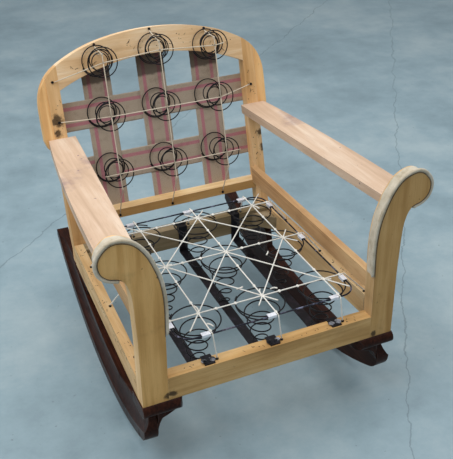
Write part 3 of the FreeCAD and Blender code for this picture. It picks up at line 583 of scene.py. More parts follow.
@dataclass(frozen=True)
class RollCloth:
    """Unbleached cotton cover cloth of the padded rolls, worn and soiled; also the dark line of
    painted shadow beside them.

    The eye gets a dull, slightly lumpy cloth with a plain weave and grey to
    brown soil in soft patches.
    """

    name: str
    clean: str
    used: str
    soiled: str
    thread: float = 0.9 * MM
    patch: float = 38.462 * MM

    def build(self) -> bpy.types.Material:
        """Make the material.

        Returns:
            The material.
        """
        g = Graph(self.name)
        place = g.node("TexCoord").outputs["Object"]
        parts = g.node("SeparateXYZ", {0: place}).outputs
        threads = []
        for run in (parts["Y"], parts["Z"]):
            turn = g.node("Math", {0: run, 1: math.pi / self.thread}, operation="MULTIPLY")
            threads.append(g.node("Math", {0: turn}, operation="SINE"))
        weave = g.node("Math", {0: threads[0], 1: threads[1]}, operation="MULTIPLY")
        soil = g.node("TexNoise", {"Vector": place, "Scale": 1 / self.patch, "Detail": 5.0,
                                   "Roughness": 0.65})
        colour = g.node("ValToRGB", {0: soil},
                        ((0.32, self.clean), (0.52, self.used), (0.7, self.soiled)))
        normal = g.node("Bump", {"Height": weave, "Strength": 0.4, "Distance": 0.25 * MM})
        normal = g.node("Bump", {"Height": soil, "Strength": 0.3, "Distance": 1.2 * MM,
                                 "Normal": normal})
        return g.finish(Base_Color=colour, Roughness=0.9, Normal=normal, Sheen_Weight=0.3,
                        Specular_IOR_Level=0.2)


@dataclass(frozen=True)
class WorkshopFloor:
    """Concrete floor with worn pale blue-grey paint.

    The eye gets soft clouds of tone, scuffs, a few specks and two thin wandering
    cracks. Each crack has its aim in radians, its distance and its half width.
    """

    name: str = "painted_workshop_floor"
    cracks: tuple[tuple[float, float, float], ...] = ((2.29, 0.918, 4 * MM),
                                                      (-0.57, 0.656, 3 * MM))
    cloud: float = 625 * MM
    scuff: float = 111.11 * MM
    speck: float = 16.667 * MM
    bend: float = 200 * MM
    wander: float = 90 * MM

    def build(self) -> bpy.types.Material:
        """Make the material.

        Returns:
            The material.
        """
        g = Graph(self.name)
        place = g.node("TexCoord").outputs["Object"]
        cloud = g.node("TexNoise", {"Vector": place, "Scale": 1 / self.cloud, "Detail": 7.0,
                                    "Roughness": 0.62})
        scuff = g.node("TexNoise", {"Vector": place, "Scale": 1 / self.scuff, "Detail": 6.0,
                                    "Roughness": 0.7})
        tone = g.node("Mix", {"Factor": 0.3, "A": cloud, "B": scuff})
        colour = g.node("ValToRGB", {0: tone},
                        ((0.34, "788D96"), (0.5, "8FA5AE"), (0.64, "A5B6BB")))
        speck = g.node("TexNoise", {"Vector": place, "Scale": 1 / self.speck, "Detail": 2.0,
                                    "Roughness": 0.5})
        colour = g.layer(colour, speck, 0.72, 0.76, "5E6866", 0.5)
        bend = g.node("TexNoise", {"Vector": place, "Scale": 1 / self.bend, "Detail": 5.0,
                                   "Roughness": 0.6})
        for aim, off, half in self.cracks:
            run = g.node("VectorMath", {0: place, 1: (math.cos(aim), math.sin(aim), 0.0)},
                         operation="DOT_PRODUCT")
            bent = g.node("Math", {0: bend, 1: self.wander, 2: run}, operation="MULTIPLY_ADD")
            beside = g.node("Math", {0: bent, 1: off}, operation="SUBTRACT")
            away = g.node("Math", {0: beside}, operation="ABSOLUTE")
            colour = g.layer(colour, away, half, 0.3 * half, "5A6A70", 0.5)
        rough = g.node("Math", {0: scuff, 1: 0.4, 2: 0.3}, operation="MULTIPLY_ADD")
        normal = g.node("Bump", {"Height": scuff, "Strength": 0.1, "Distance": 0.6 * MM})
        return g.finish(Base_Color=colour, Roughness=rough, Normal=normal)


def new_object(name: str, mesh: bpy.types.Mesh) -> bpy.types.Object:
    """Put a mesh in the scene, at the frame's origin.

    Args:
        name: Object name.
        mesh: Its mesh.
    Returns:
        The object.
    """
    made = bpy.data.objects.new(name, mesh)
    bpy.context.scene.collection.objects.link(made)
    return made


def new_mesh(name: str, points: list, faces: list, strands: list | None = None,
             smooth: bool = True) -> bpy.types.Object:
    """Make a mesh object from its points and faces.

    Args:
        name: Object name.
        points: Vertex places in the frame.
        faces: Vertex indices of each face.
        strands: One pair per face corner for the strand UV map.
        smooth: True for smooth shading.
    Returns:
        The object.
    """
    mesh = bpy.data.meshes.new(name)
    mesh.from_pydata([tuple(point) for point in points], [], faces)
    if strands is not None:
        layer = mesh.uv_layers.new(name="strand")
        layer.data.foreach_set("uv", [value for pair in strands for value in pair])
    mesh.polygons.foreach_set("use_smooth", [smooth] * len(mesh.polygons))
    mesh.update()
    return new_object(name, mesh)


def new_tree(name: str, sizes: dict[str, str]) -> bpy.types.NodeTree:
    """Start a Geometry Nodes tree that takes and gives one mesh.

    Args:
        name: Name of the tree.
        sizes: Kind of each named input.
    Returns:
        The tree.
    """
    tree = bpy.data.node_groups.new(name, "GeometryNodeTree")
    kinds = {"Geometry": "Geometry", **sizes}
    for label, kind in kinds.items():
        tree.interface.new_socket(label, in_out="INPUT", socket_type="NodeSocket" + kind)
    tree.interface.new_socket("Geometry", in_out="OUTPUT", socket_type="NodeSocketGeometry")
    return tree


def run_tree(source: bpy.types.Object, tree: bpy.types.NodeTree, values: dict,
             name: str) -> bpy.types.Object:
    """Run a tree on an object and keep the result as a plain mesh.

    Args:
        source: Object that the tree works on; it is removed.
        tree: The Geometry Nodes tree.
        values: Value of each named input.
        name: Name of the new object.
    Returns:
        The new object.
    """
    modifier = source.modifiers.new(tree.name, "NODES")
    modifier.node_group = tree
    for item in tree.interface.items_tree:
        if item.in_out == "INPUT" and item.name in values:
            modifier[item.identifier] = values[item.name]
    graph = bpy.context.evaluated_depsgraph_get()
    mesh = bpy.data.meshes.new_from_object(source.evaluated_get(graph))
    bpy.data.objects.remove(source)
    return new_object(name, mesh)


@dataclass
class TubeSet:
    """Tubes with round sections, gathered into one mesh."""

    sides: int = 10
    points: list = field(default_factory=list)
    faces: list = field(default_factory=list)
    strands: list = field(default_factory=list)

    def tube(self, path: list[Vector], radius: float | Callable[[float], float],
             turn: float = 0.0) -> None:
        """Add one tube, closed at both ends.

        Args:
            path: Points along its middle.
            radius: Its radius, or a function of the share of its length.
            turn: Turn of its first section in radians.
        """
        ways = [(b - a).normalized() for a, b in zip(path, path[1:])]
        ways = [ways[0]] + [(a + b).normalized() for a, b in zip(ways, ways[1:])] + [ways[-1]]
        side = ways[0].orthogonal().normalized()
        first = len(self.points)
        run = 0.0
        runs = [0.0]
        for a, b in zip(path, path[1:]):
            run += (b - a).length
            runs.append(run)
        for index, (point, way) in enumerate(zip(path, ways)):
            side = (side - way * side.dot(way)).normalized()
            other = way.cross(side)
            size = radius(runs[index] / run) if callable(radius) else radius
            for step in range(self.sides):
                angle = turn + 2 * math.pi * step / self.sides
                spoke = side * math.cos(angle) + other * math.sin(angle)
                self.points.append(point + spoke * size)
        for index in range(len(path) - 1):
            low, high = first + index * self.sides, first + (index + 1) * self.sides
            for step in range(self.sides):
                after = (step + 1) % self.sides
                self.faces.append((low + step, low + after, high + after, high + step))
                u, v = step / self.sides, (step + 1) / self.sides
                a, b = runs[index] / UV_LENGTH, runs[index + 1] / UV_LENGTH
                self.strands += [(u, a), (v, a), (v, b), (u, b)]
        for start, order in ((first, -1), (first + (len(path) - 1) * self.sides, 1)):
            ring = [start + step for step in range(self.sides)][::order]
            self.faces.append(tuple(ring))
            self.strands += [(0.0, 0.0)] * self.sides

    def build(self, name: str) -> bpy.types.Object:
        """Make the object, under the given name."""
        return new_mesh(name, self.points, self.faces, self.strands)


def sagging(start: Vector, end: Vector, sag: float, steps: int = 8) -> list[Vector]:
    """Give a nearly taut run of twine.

    Args:
        start: First point.
        end: Last point.
        sag: How far its middle hangs.
        steps: Number of short runs.
    Returns:
        The points.
    """
    points = []
    for index in range(steps + 1):
        share = index / steps
        point = start.lerp(end, share)
        point.z -= 4 * sag * share * (1 - share)
        points.append(point)
    return points


@dataclass
class SpringWinder:
    """Winds coil springs: a Geometry Nodes tree sweeps their wire along its path."""

    material: bpy.types.Material
    steps: int = 36
    sides: int = 10
    tree: bpy.types.NodeTree = field(init=False)

    def __post_init__(self) -> None:
        """Build the tree that turns a path into round wire."""
        self.tree = new_tree("sweep_spring_wire", {"Wire Radius": "Float", "Sides": "Int",
                                                   "Material": "Material"})
        given = add_node(self.tree, "NodeGroupInput").outputs
        path = add_node(self.tree, "GeometryNodeMeshToCurve", {"Mesh": given["Geometry"]})
        section = add_node(self.tree, "GeometryNodeCurvePrimitiveCircle",
                           {"Resolution": given["Sides"], "Radius": given["Wire Radius"]})
        wire = add_node(self.tree, "GeometryNodeCurveToMesh",
                        {"Curve": path, "Profile Curve": section, "Fill Caps": True})
        smooth = add_node(self.tree, "GeometryNodeSetShadeSmooth", {"Geometry": wire})
        real = add_node(self.tree, "GeometryNodeRealizeInstances", {"Geometry": smooth})
        finish = add_node(self.tree, "GeometryNodeSetMaterial",
                          {"Geometry": real, "Material": given["Material"]})
        add_node(self.tree, "NodeGroupOutput", {"Geometry": finish})

    def wind(self, name: str, stations: list[tuple[float, float, float]], start: float,
             radius: float, place: Matrix) -> bpy.types.Object:
        """Wind one spring.

        Args:
            name: Name of the spring.
            stations: Turns from the start, radius and height where the winding changes.
            start: Angle of the wire's first end in degrees.
            radius: Radius of the wire.
            place: Where the spring's axis stands.
        Returns:
            The spring.
        """
        path = []
        for index in range(int(stations[-1][0] * self.steps) + 1):
            turn = index / self.steps
            ring, height = self._at(stations, turn)
            angle = math.radians(start) + 2 * math.pi * turn
            path.append(place @ Vector((ring * math.cos(angle), ring * math.sin(angle), height)))
        mesh = bpy.data.meshes.new("spring_path")
        mesh.from_pydata(path, [(index, index + 1) for index in range(len(path) - 1)], [])
        values = {"Wire Radius": radius, "Sides": self.sides, "Material": self.material}
        return run_tree(new_object("spring_path", mesh), self.tree, values, name)

    def _at(self, stations: list[tuple[float, float, float]], turn: float) -> tuple[float, float]:
        """Find the radius and height at a turn.

        Args:
            stations: Turns, radius and height where the winding changes.
            turn: Turns from the start.
        Returns:
            Radius and height.
        """
        for (low, *before), (high, *after) in zip(stations, stations[1:]):
            if turn <= high:
                break
        share = (turn - low) / (high - low)
        return tuple(a + (b - a) * share for a, b in zip(before, after))


@dataclass
class Palette:
    """Every material of the chair, made once; the floor's is made with the floor."""

    made: dict = field(default_factory=dict)

    def __post_init__(self) -> None:
        """Make the materials."""
        # The left post's tones are paler than the right's as painted light, the left post being
        # lit more
        post_lit_and_shaded_tones = {"left": ("F7D4A3", "E9C18C", "C9A06A"),
                      "right": ("DCBD95", "CFAD80", "B38F60")}
        post_marks = {"left": ((-0.300, -0.430, 0.600, 9 * MM), (-0.292, -0.430, 0.236, 16 * MM)),
                      "right": ((0.305, -0.430, 0.236, 12 * MM),)}
        back_marks = {"left": ((-0.322, 0.374, 0.668, 24 * MM), (-0.324, 0.364, 0.630, 16 * MM)),
                      "right": ((0.330, 0.334, 0.520, 18 * MM), (0.336, 0.322, 0.470, 16 * MM))}
        woods = [
            BareWood("bare_hardwood_crest", Axis.X, "F3D9B6", "E5C093", "C79A69"),
            # Paler than the other rails as painted light on its lit top; front C9B698 darkens its
            # front faces as painted shade
            BareWood("bare_hardwood_low_rail", Axis.X, "FFE8C4", "F8D6A2", "DAB078",
                     front="C9B698"),
            BareWood("bare_hardwood_front_rail", Axis.X, "DAB580", "C99F66", "A47C48",
                     marks=((-0.284, -0.430, 0.240, 13 * MM),)),
            # Darker and greyer than the other rails
            BareWood("soiled_hardwood_rear_rail", Axis.X, "A8967A", "948163", "776748"),
            BareWood("bare_hardwood_seat_rail", Axis.Y, "E2C496", "D6AF7C", "B38A58",
                     stain="7A4A30", stain_share=0.8),
            BareWood("bare_hardwood_tack_rail", Axis.Y, "D0AC7E", "BF9568", "9C7248",
                     stain_share=0.7),
            BareWood("handled_hardwood_arm", Axis.Y, "DEC8B2", "CFB298", "BA9C82", "7E6872", 1.5),
            BareWood("bare_hardwood_board", Axis.Z, "FAD095", "ECB97B", "C89258",
                     stain_share=0.6, lean=RAKE)]
        for side in SIDES:
            # front F4E6C6 darkens the posts' front faces as painted shade
            woods.append(BareWood("soiled_hardwood_post_" + side, Axis.Z, *post_lit_and_shaded_tones[side],
                                  "6E5A38", 1.1, front="F4E6C6", marks=post_marks[side]))
            woods.append(BareWood("bare_hardwood_back_post_" + side, Axis.Z, "F0C896", "E0B27B",
                                  "BF8F58", stain_share=0.7, lean=RAKE, marks=back_marks[side]))
        finishes = woods + [
            PolishedMahogany(), StripedWebbing(), LaidTwine("white_lashing_twine"),
            StripedWebbing("soiled_jute_webbing", crest_shadow_start=411.0),
            LaidTwine("aged_lashing_twine", "E0D2BC", "A8957A"),
            Steel("japanned_spring_wire", "0E0E12", "24252C", roughness=0.34, rust_share=0.25),
            Steel("japanned_bar_steel", "15131A", "2B2530", "3B2620", 0.5, 0.42),
            Steel("bright_clip_steel", "F2F2F8", "D8DAE4", "8A7A6A", 0.3, 0.25, 0.08),
            # Its bright bluish second tone is wear and painted highlights
            Steel("worn_edge_wire", "2A2B36", "8E92AC", metallic=0.8, roughness=0.26),
            # Its bright second tone is wear and a painted glint
            Steel("worn_washer_steel", "1B1B20", "B9BBC4", metallic=0.6, roughness=0.3),
            Steel("blued_tack_steel", "1B1B20", "3A3A40", metallic=0.7),
            # Dark discs of the holes and staples: rust, and painted shade in the holes
            Steel("rusty_tack_hole", "1A120C", "3A2418", "5A3423", 0.0, 0.8, 0.6),
            RollCloth("unbleached_roll_cloth", "D6CBB8", "C4B8A2", "A39479"),
            # Dark line beside each roll: painted shadow
            RollCloth("soiled_seam_cloth", "5B4E3D", "463B2D", "33291F")]
        for finish in finishes:
            self.made[finish.name] = finish.build()

    def __getitem__(self, name: str) -> bpy.types.Material:
        """Give a material by its name."""
        return self.made[name]


def dress(obj: bpy.types.Object, material: bpy.types.Material) -> None:
    """Give an object one material in all its slots.

    Args:
        obj: The object.
        material: The material.
    """
    if not obj.material_slots:
        obj.data.materials.append(material)
    for place in obj.material_slots:
        place.material = material


@dataclass
class Carcass:
    """Light hardwood frame, brackets, rockers and the other rigid nodes."""

    nodes: dict
    palette: Palette

    def build(self) -> int:
        """Give each rigid node its material.

        Returns:
            How many nodes were dressed.
        """
        finishes = {
            "crest_rail": "bare_hardwood_crest", "lower_back_rail": "bare_hardwood_low_rail",
            "front_seat_rail": "bare_hardwood_front_rail",
            "rear_seat_rail": "soiled_hardwood_rear_rail",
            "corner_blocks": "soiled_hardwood_rear_rail", "edge_wire_clips": "bright_clip_steel",
            "webbing_tacks": "blued_tack_steel", "lashing_nails": "blued_tack_steel",
            "bar_washers": "worn_washer_steel", "seat_edge_wire": "worn_edge_wire"}
        for name in COLUMN_NAMES:
            finishes["spring_bar_" + name] = "japanned_bar_steel"
        for side in SIDES:
            for part, material in (
                    ("arm_post", "soiled_hardwood_post_" + side),
                    ("arm_board", "handled_hardwood_arm"),
                    ("back_post", "bare_hardwood_back_post_" + side),
                    ("back_side_board", "bare_hardwood_board"),
                    ("seat_rail", "bare_hardwood_seat_rail"),
                    ("tack_rail", "bare_hardwood_tack_rail"),
                    ("front_bracket", "polished_mahogany"), ("rear_foot", "polished_mahogany"),
                    ("rocker", "polished_mahogany")):
                finishes[side + "_" + part] = material
        for name, material in finishes.items():
            dress(self.nodes[name], self.palette[material])
        return len(finishes)


@dataclass
class SeatUnit:
    """Cone springs on the bars, and the twine that lashes them."""

    palette: Palette
    ring: float = 66 * MM
    wire: float = 1.9 * MM
    spring_height: float = 165 * MM
    twine: float = 1.8 * MM
    off: float = 14 * MM
    net_lift: float = 5.6 * MM
    corner_reach: float = 78 * MM
    edge_reach: float = 46 * MM
    end_lift: float = 5.4 * MM
    end_in: float = 2 * MM
    end_aside: float = 10 * MM
    nail_in: float = 9 * MM
    seed: int = 11

    def build(self) -> int:
        """Make the seat's springs and twine.

        Returns:
            How many pieces were made.
        """
        count = self._springs()
        self._net()
        self._ends()
        return count + 2

    def _springs(self) -> int:
        """Make the nine cone springs.

        Returns:
            How many springs were made.
        """
        winder = SpringWinder(self.palette["japanned_spring_wire"])
        low = BAR_TOP - UNDERSIDE + self.wire + CLEAR
        top = DECK - UNDERSIDE
        stations = [(0, self.ring, top), (0.7, self.ring, top), (1, self.ring, top - 6.6 * MM),
                    (2, 42 * MM, 112 * MM), (3, 34 * MM, 82 * MM), (4, 26 * MM, 50 * MM),
                    (5, 18 * MM, 16 * MM), (6, 15 * MM, low)]
        starts = {("left", "front"): 135, ("middle", "front"): 135, ("right", "front"): 225,
                  ("left", "middle"): 90, ("middle", "middle"): 135, ("right", "middle"): 270,
                  ("left", "rear"): 45, ("middle", "rear"): 0, ("right", "rear"): 315}
        for column, x in zip(COLUMN_NAMES, SPRING_COLUMNS):
            for row, y in zip(SEAT_ROW_NAMES, SPRING_ROWS):
                node = "seat_spring_%s_%s" % (row, column)
                spring = winder.wind(node + "_wire", stations, starts[column, row], self.wire,
                                     Matrix.Translation((x, y, UNDERSIDE)))
                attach(spring, "chair")
                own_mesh(spring)
                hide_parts(node)
        return len(starts)

    def _net(self) -> None:
        """Make the star lashing that rides on the deck."""
        low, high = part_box("seat_lashing")
        level = DECK + self.net_lift
        columns = [x + self.off for x in SPRING_COLUMNS]
        rows = [y + self.off for y in SPRING_ROWS]
        tubes = TubeSet(sides=8)
        luck = random.Random(self.seed)

        def over(x: float, y: float) -> Vector:
            """Give a point of the net."""
            return Vector((x, y, level))

        def lash(a: Vector, b: Vector) -> None:
            """Lay one run of twine."""
            tubes.tube(sagging(a, b, 0.2 * MM, 10), self.twine, luck.random() * 6)

        lines = [[over(x, y) for x in [low.x] + columns + [high.x]] for y in rows]
        lines += [[over(x, y) for y in [low.y] + rows + [high.y]] for x in columns]
        for line in lines:
            for a, b in zip(line, line[1:]):
                lash(a, b)
        for i, j in ((0, 0), (1, 0), (0, 1), (1, 1)):
            west, east, south, north = columns[i], columns[i + 1], rows[j], rows[j + 1]
            middle = over((west + east) / 2, (south + north) / 2)
            self._knot(tubes, middle, 3.0 * MM, luck)
            for x, y in ((west, south), (east, south), (west, north), (east, north)):
                knot = over(x, y)
                lash(middle, knot)
                outer = (x != columns[1]) + (y != rows[1])
                if outer:
                    reach = self.corner_reach if outer == 2 else self.edge_reach
                    lash(knot, knot + (knot - middle).normalized() * reach)
        # A run passes beside the ring's middle, so it meets the wire inside the radius
        crossing = math.sqrt(self.ring ** 2 - self.off ** 2)
        for x in columns:
            for y in rows:
                self._knot(tubes, over(x, y), 4.6 * MM, luck)
                for way in (1, -1):
                    self._knot(tubes, over(x + way * crossing - self.off, y), 3.4 * MM, luck)
                for way in (1, -1):
                    self._knot(tubes, over(x, y + way * crossing - self.off), 3.4 * MM, luck)
                if luck.random() < 0.8:
                    self._tail(tubes, over(x, y), luck)
        for x, y in ((-0.150, -0.385), (-0.030, -0.262), (0.052, -0.300), (0.130, -0.130)):
            self._tail(tubes, over(x, y), luck)
        net = tubes.build("seat_lashing_twine")
        dress(net, self.palette["white_lashing_twine"])
        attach(net, "deck")
        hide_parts("seat_lashing")

    def _knot(self, tubes: TubeSet, middle: Vector, size: float, luck: random.Random) -> None:
        """Wind a small knot of twine.

        Args:
            tubes: Mesh that takes the knot.
            middle: Its centre.
            size: Its radius.
            luck: Seeded numbers.
        """
        steps = 16
        for _ in range(3):
            tilt = luck.uniform(-0.5, 0.5)
            aim = luck.uniform(0, math.pi)
            turned = Matrix.Rotation(aim, 3, "Z") @ Matrix.Rotation(tilt, 3, "X")
            loop = []
            for index in range(steps + 1):
                angle = 2 * math.pi * index / steps
                flat = Vector((math.cos(angle) * size * 0.8, math.sin(angle) * size * 0.6,
                               math.sin(angle + aim) * size * 0.35))
                loop.append(middle + turned @ flat)
            tubes.tube(loop, self.twine * 0.92)

    def _tail(self, tubes: TubeSet, start: Vector, luck: random.Random) -> None:
        """Let a cut end of twine stand from its knot.

        Args:
            tubes: Mesh that takes the tail.
            start: Its knot.
            luck: Seeded numbers.
        """
        aim = luck.uniform(0, 2 * math.pi)
        length = luck.uniform(16, 34) * MM
        bend = luck.uniform(-0.9, 0.9)
        steps = 6
        path = []
        for index in range(steps + 1):
            share = index / steps
            turn = aim + bend * share
            path.append(start + Vector((math.cos(turn) * length * share,
                                        math.sin(turn) * length * share,
                                        2.4 * MM * math.sin(share * 2.6))))
        tubes.tube(path, lambda share: self.twine * (0.95 + 0.35 * share * share))

    def _ends(self) -> None:
        """Make the twine's ends from the deck down to the nails in the rails."""
        low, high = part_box("seat_lashing")
        foot_low, foot_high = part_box("seat_lashing_ends")
        level = DECK + self.end_lift
        runs = []
        for x in SPRING_COLUMNS:
            for y, end_y in ((low.y - self.end_in, foot_low.y + self.twine),
                             (high.y + self.end_in, foot_high.y - self.twine)):
                runs.append(((x + self.off, y), (x + self.off + self.end_aside, end_y)))
        for y in SPRING_ROWS:
            row = y + self.off
            foot = rail_outer(row) - RAIL_THICK + self.nail_in
            for edge, way in ((low.x - self.end_in, -1), (high.x + self.end_in, 1)):
                runs.append(((edge, row), (way * foot, row)))
        tubes = TubeSet(sides=8)
        for top, nail in runs:
            tubes.tube(sagging(Vector((*top, level)), Vector((*nail, NAIL_TOP)), 0.6 * MM),
                       self.twine)
        ends = tubes.build("seat_lashing_end_twine")
        dress(ends, self.palette["white_lashing_twine"])
        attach(ends, "chair")
        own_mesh(ends)
        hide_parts("seat_lashing_ends")


@dataclass(frozen=True)
class Strip:
    """One strip of webbing: its node, its run, and the strips that it passes behind."""

    node: str
    middle: float
    upright: bool
    behind: tuple[float, ...]
    start: float
    end: float

    def point(self, across: float, out: float, along: float) -> Vector:
        """Give a point of the strip.

        Args:
            across: Distance from its centre line.
            out: Distance behind the back's front plane.
            along: Place along its run.
        Returns:
            The point in the frame.
        """
        place = self.middle + across
        return raked(place, out, along) if self.upright else raked(along, out, place)


@dataclass
class BackUnit:
    """Hourglass springs, woven webbing and twine of the back."""

    palette: Palette
    ring: float = 47 * MM
    waist: float = 22 * MM
    wire: float = 1.7 * MM
    turns: int = 5
    front: float = 75 * MM
    twine: float = 1.5 * MM
    strip_half: float = 44.5 * MM
    strip_thick: float = 1.6 * MM
    strip_clear: float = 2 * MM
    strip_ramp: float = 10 * MM
    fray: float = 0.35 * MM
    nail_column: float = 310 * MM
    seed: int = 5

    def build(self) -> int:
        """Make the back's pieces.

        Returns:
            How many pieces were made.
        """
        return self._springs() + self._webbing() + self._twine()

    def _springs(self) -> int:
        """Make the nine hourglass springs.

        Returns:
            How many springs were made.
        """
        winder = SpringWinder(self.palette["japanned_spring_wire"])
        aim = Matrix.Rotation(math.pi / 2 - RAKE, 4, "X")
        end_rise = 2 * self.wire + 1.2 * MM
        radii = (self.ring, self.ring - 2 * MM, self.waist + 4 * MM, self.waist + 4 * MM,
                 self.ring - 4 * MM, self.ring - 2 * MM)
        for row, up, wall in zip(BACK_ROW_NAMES, BACK_ROWS, (BACK_DEPTH, BACK_DEPTH, 0.0)):
            low = -wall + self.wire + CLEAR
            rise = (self.front - low - 2 * end_rise) / (self.turns - 2)
            stations = [(0, radii[0], low)]
            stations += [(turn, radii[turn], low + end_rise + rise * (turn - 1))
                         for turn in range(1, self.turns)]
            stations.append((self.turns, radii[-1], self.front))
            for column, x in zip(COLUMN_NAMES, BACK_COLUMNS):
                node = "back_spring_%s_%s" % (row, column)
                lift = CREST_LIFT if (row, column) == ("upper", "middle") else 0.0
                place = Matrix.Translation(raked(x, 0.0, up + lift)) @ aim
                spring = winder.wind(node + "_wire", stations, 200, self.wire, place)
                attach(spring, "chair")
                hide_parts(node)
        return len(BACK_ROWS) * len(BACK_COLUMNS)

    def _webbing(self) -> int:
        """Make the five strips of webbing.

        Returns:
            How many strips were made.
        """
        strips = []
        for index, (name, x) in enumerate(zip(COLUMN_NAMES, BACK_COLUMNS)):
            node = "webbing_upright_" + name
            start, end = ((corner.z - RAKE_Z) / math.cos(RAKE) + BACK_DEPTH * math.tan(RAKE)
                          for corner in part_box(node))
            strips.append(Strip(node, x, True, (BACK_ROWS[(index + 1) % 2],), start, end))
        for index, (name, up) in enumerate(zip(("lower", "upper"), BACK_ROWS)):
            node = "webbing_level_" + name
            low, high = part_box(node)
            behind = tuple(x for place, x in enumerate(BACK_COLUMNS) if (place + 1) % 2 != index)
            strips.append(Strip(node, up, False, behind, low.x, high.x))
        for strip in strips:
            self._weave(strip)
        return len(strips)

    def _weave(self, strip: Strip) -> None:
        """Make one strip as a thin band that steps back behind those it crosses.

        Args:
            strip: The strip.
        """
        length = strip.end - strip.start
        steps = max(2, int(length / (4 * MM)))
        across = 20
        points, rows = self._band_points(strip, steps, across)
        faces = []
        strands = []
        width = 2 * self.strip_half / MM

        def quad(corners: tuple, uv: tuple, flip: bool = False) -> None:
            """Add one face with its UV; a level strip mirrors an upright one.

            Args:
                corners: Indices of its points.
                uv: One pair for each corner.
                flip: True to turn the face round.
            """
            order = -1 if flip == strip.upright else 1
            faces.append(corners[::order])
            strands.extend(uv[::order])

        for index in range(steps):
            v0, v1 = (length * place / steps / MM for place in (index, index + 1))
            front, back = rows[2 * index], rows[2 * index + 1]
            front_next, back_next = rows[2 * index + 2], rows[2 * index + 3]
            for step in range(across):
                u0, u1 = (width * (place / across - 0.5) for place in (step, step + 1))
                quad((front[step], front[step + 1], front_next[step + 1], front_next[step]),
                     ((u0, v0), (u1, v0), (u1, v1), (u0, v1)))
                quad((back[step], back_next[step], back_next[step + 1], back[step + 1]),
                     ((u0, v0), (u0, v1), (u1, v1), (u1, v0)))
            for edge, u in ((0, -width / 2), (across, width / 2)):
                quad((front[edge], back[edge], back_next[edge], front_next[edge]),
                     ((u, v0), (u, v0), (u, v1), (u, v1)), flip=edge == 0)
        for row, other, flip in ((rows[0], rows[1], False), (rows[-2], rows[-1], True)):
            for step in range(across):
                quad((row[step], other[step], other[step + 1], row[step + 1]),
                     ((0.0, 0.0),) * 4, flip)
        cloth = new_mesh(strip.node + "_cloth", points, faces, strands)
        kind = "soiled_jute_webbing" if strip.upright else "striped_jute_webbing"
        dress(cloth, self.palette[kind])
        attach(cloth, "chair")
        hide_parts(strip.node)

    def _band_points(self, strip: Strip, steps: int, across: int) -> tuple[list, list]:
        """Place a strip's points, with frayed edges.

        Args:
            strip: The strip.
            steps: Number of quads along it.
            across: Number of quads across it.
        Returns:
            The points, and the indices of each row, its front and back in turn.
        """
        luck = random.Random(strip.node)
        points = []
        rows = []
        for index in range(steps + 1):
            along = strip.start + (strip.end - strip.start) * index / steps
            out = BACK_DEPTH
            for crossing in strip.behind:
                gap = abs(along - crossing) - self.strip_half - self.strip_clear
                share = min(1.0, max(0.0, 1 - gap / self.strip_ramp))
                share = share * share * (3 - 2 * share)
                out = max(out, BACK_DEPTH + self.strip_thick * share)
            fray = luck.uniform(-self.fray, self.fray)
            for layer in (0.0, self.strip_thick):
                row = []
                for step in range(across + 1):
                    u = -1 + 2 * step / across
                    place = u * self.strip_half * 0.995 + (fray if abs(u) == 1 else 0)
                    row.append(len(points))
                    points.append(strip.point(place, out + layer, along))
                rows.append(row)
        return points, rows

    def _twine(self) -> int:
        """Make the back's lashing.

        Returns:
            One, for the one piece.
        """
        out = -(self.front + self.wire + CLEAR + self.twine)
        ends = -self.twine - 0.6 * MM
        tubes = TubeSet(sides=8)
        luck = random.Random(self.seed)
        lower, middle, upper = BACK_ROWS
        left, _, right = BACK_COLUMNS
        knots = []

        def line(points: list[Vector]) -> None:
            """Lay twine along points and note its knots.

            Args:
                points: Where it is held, from end to end.
            """
            for a, b in zip(points, points[1:]):
                tubes.tube(sagging(a, b, 0.4 * MM), self.twine, luck.random() * 6)
            knots.extend(points[1:-1])

        crests = (upper, upper + CREST_LIFT, upper)
        for x, top, crest in zip(BACK_COLUMNS, COLUMN_TOPS, crests):
            line([raked(x, ends, top), raked(x, out, crest + 24 * MM), raked(x, out, crest),
                  raked(x, out, middle), raked(x, out, lower), raked(x, out, lower - self.ring),
                  raked(x, ends, LOW_TWINE)])
        line([raked(-self.nail_column, ends, upper - 42 * MM)]
             + [raked(x, out, crest) for x, crest in zip(BACK_COLUMNS, crests)]
             + [raked(right + 30 * MM, out, upper + 4 * MM)])
        line([raked(-self.nail_column, ends, middle - 4 * MM)]
             + [raked(x, out, middle) for x in BACK_COLUMNS]
             + [raked(self.nail_column, ends, middle + 10 * MM)])
        line([raked(x, out, lower) for x in (left - self.ring, *BACK_COLUMNS, right + self.ring)])
        for knot in knots:
            self._knot(tubes, knot)
        self._tails(tubes, ends - 1 * MM)
        twine = tubes.build("back_lashing_twine")
        dress(twine, self.palette["aged_lashing_twine"])
        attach(twine, "chair")
        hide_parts("back_lashing")
        return 1

    def _knot(self, tubes: TubeSet, middle: Vector) -> None:
        """Wind the two loops of one knot.

        Args:
            tubes: Mesh that takes the knot.
            middle: Its centre.
        """
        steps = 12
        for aim in (0.3, 1.9):
            turned = Matrix.Rotation(aim, 3, "Y")
            loop = []
            for index in range(steps + 1):
                angle = 2 * math.pi * index / steps
                flat = Vector((math.cos(angle) * 2.4 * MM, math.sin(angle) * 0.9 * MM,
                               math.sin(angle) * 2.2 * MM))
                loop.append(middle + turned @ flat)
            tubes.tube(loop, self.twine * 0.8)

    def _tails(self, tubes: TubeSet, out: float) -> None:
        """Let the cut ends of twine hang from the crest.

        Args:
            tubes: Mesh that takes the tails.
            out: Their distance behind the back's front plane.
        """
        left, middle, right = BACK_COLUMNS
        steps = 5
        for x, up, length, lean in ((middle, 478, 26, 0.5), (middle, 478, 18, -0.6),
                                    (right, 462, 24, 0.9), (right, 462, 16, 0.1),
                                    (left, 462, 20, -0.4)):
            start = raked(x, out, up * MM)
            path = []
            for index in range(steps + 1):
                share = index / steps
                reach = length * MM * share
                path.append(start + Vector((math.sin(lean + share) * reach, -5 * MM * share,
                                            -math.cos(lean + share) * reach)))
            tubes.tube(path, self.twine)


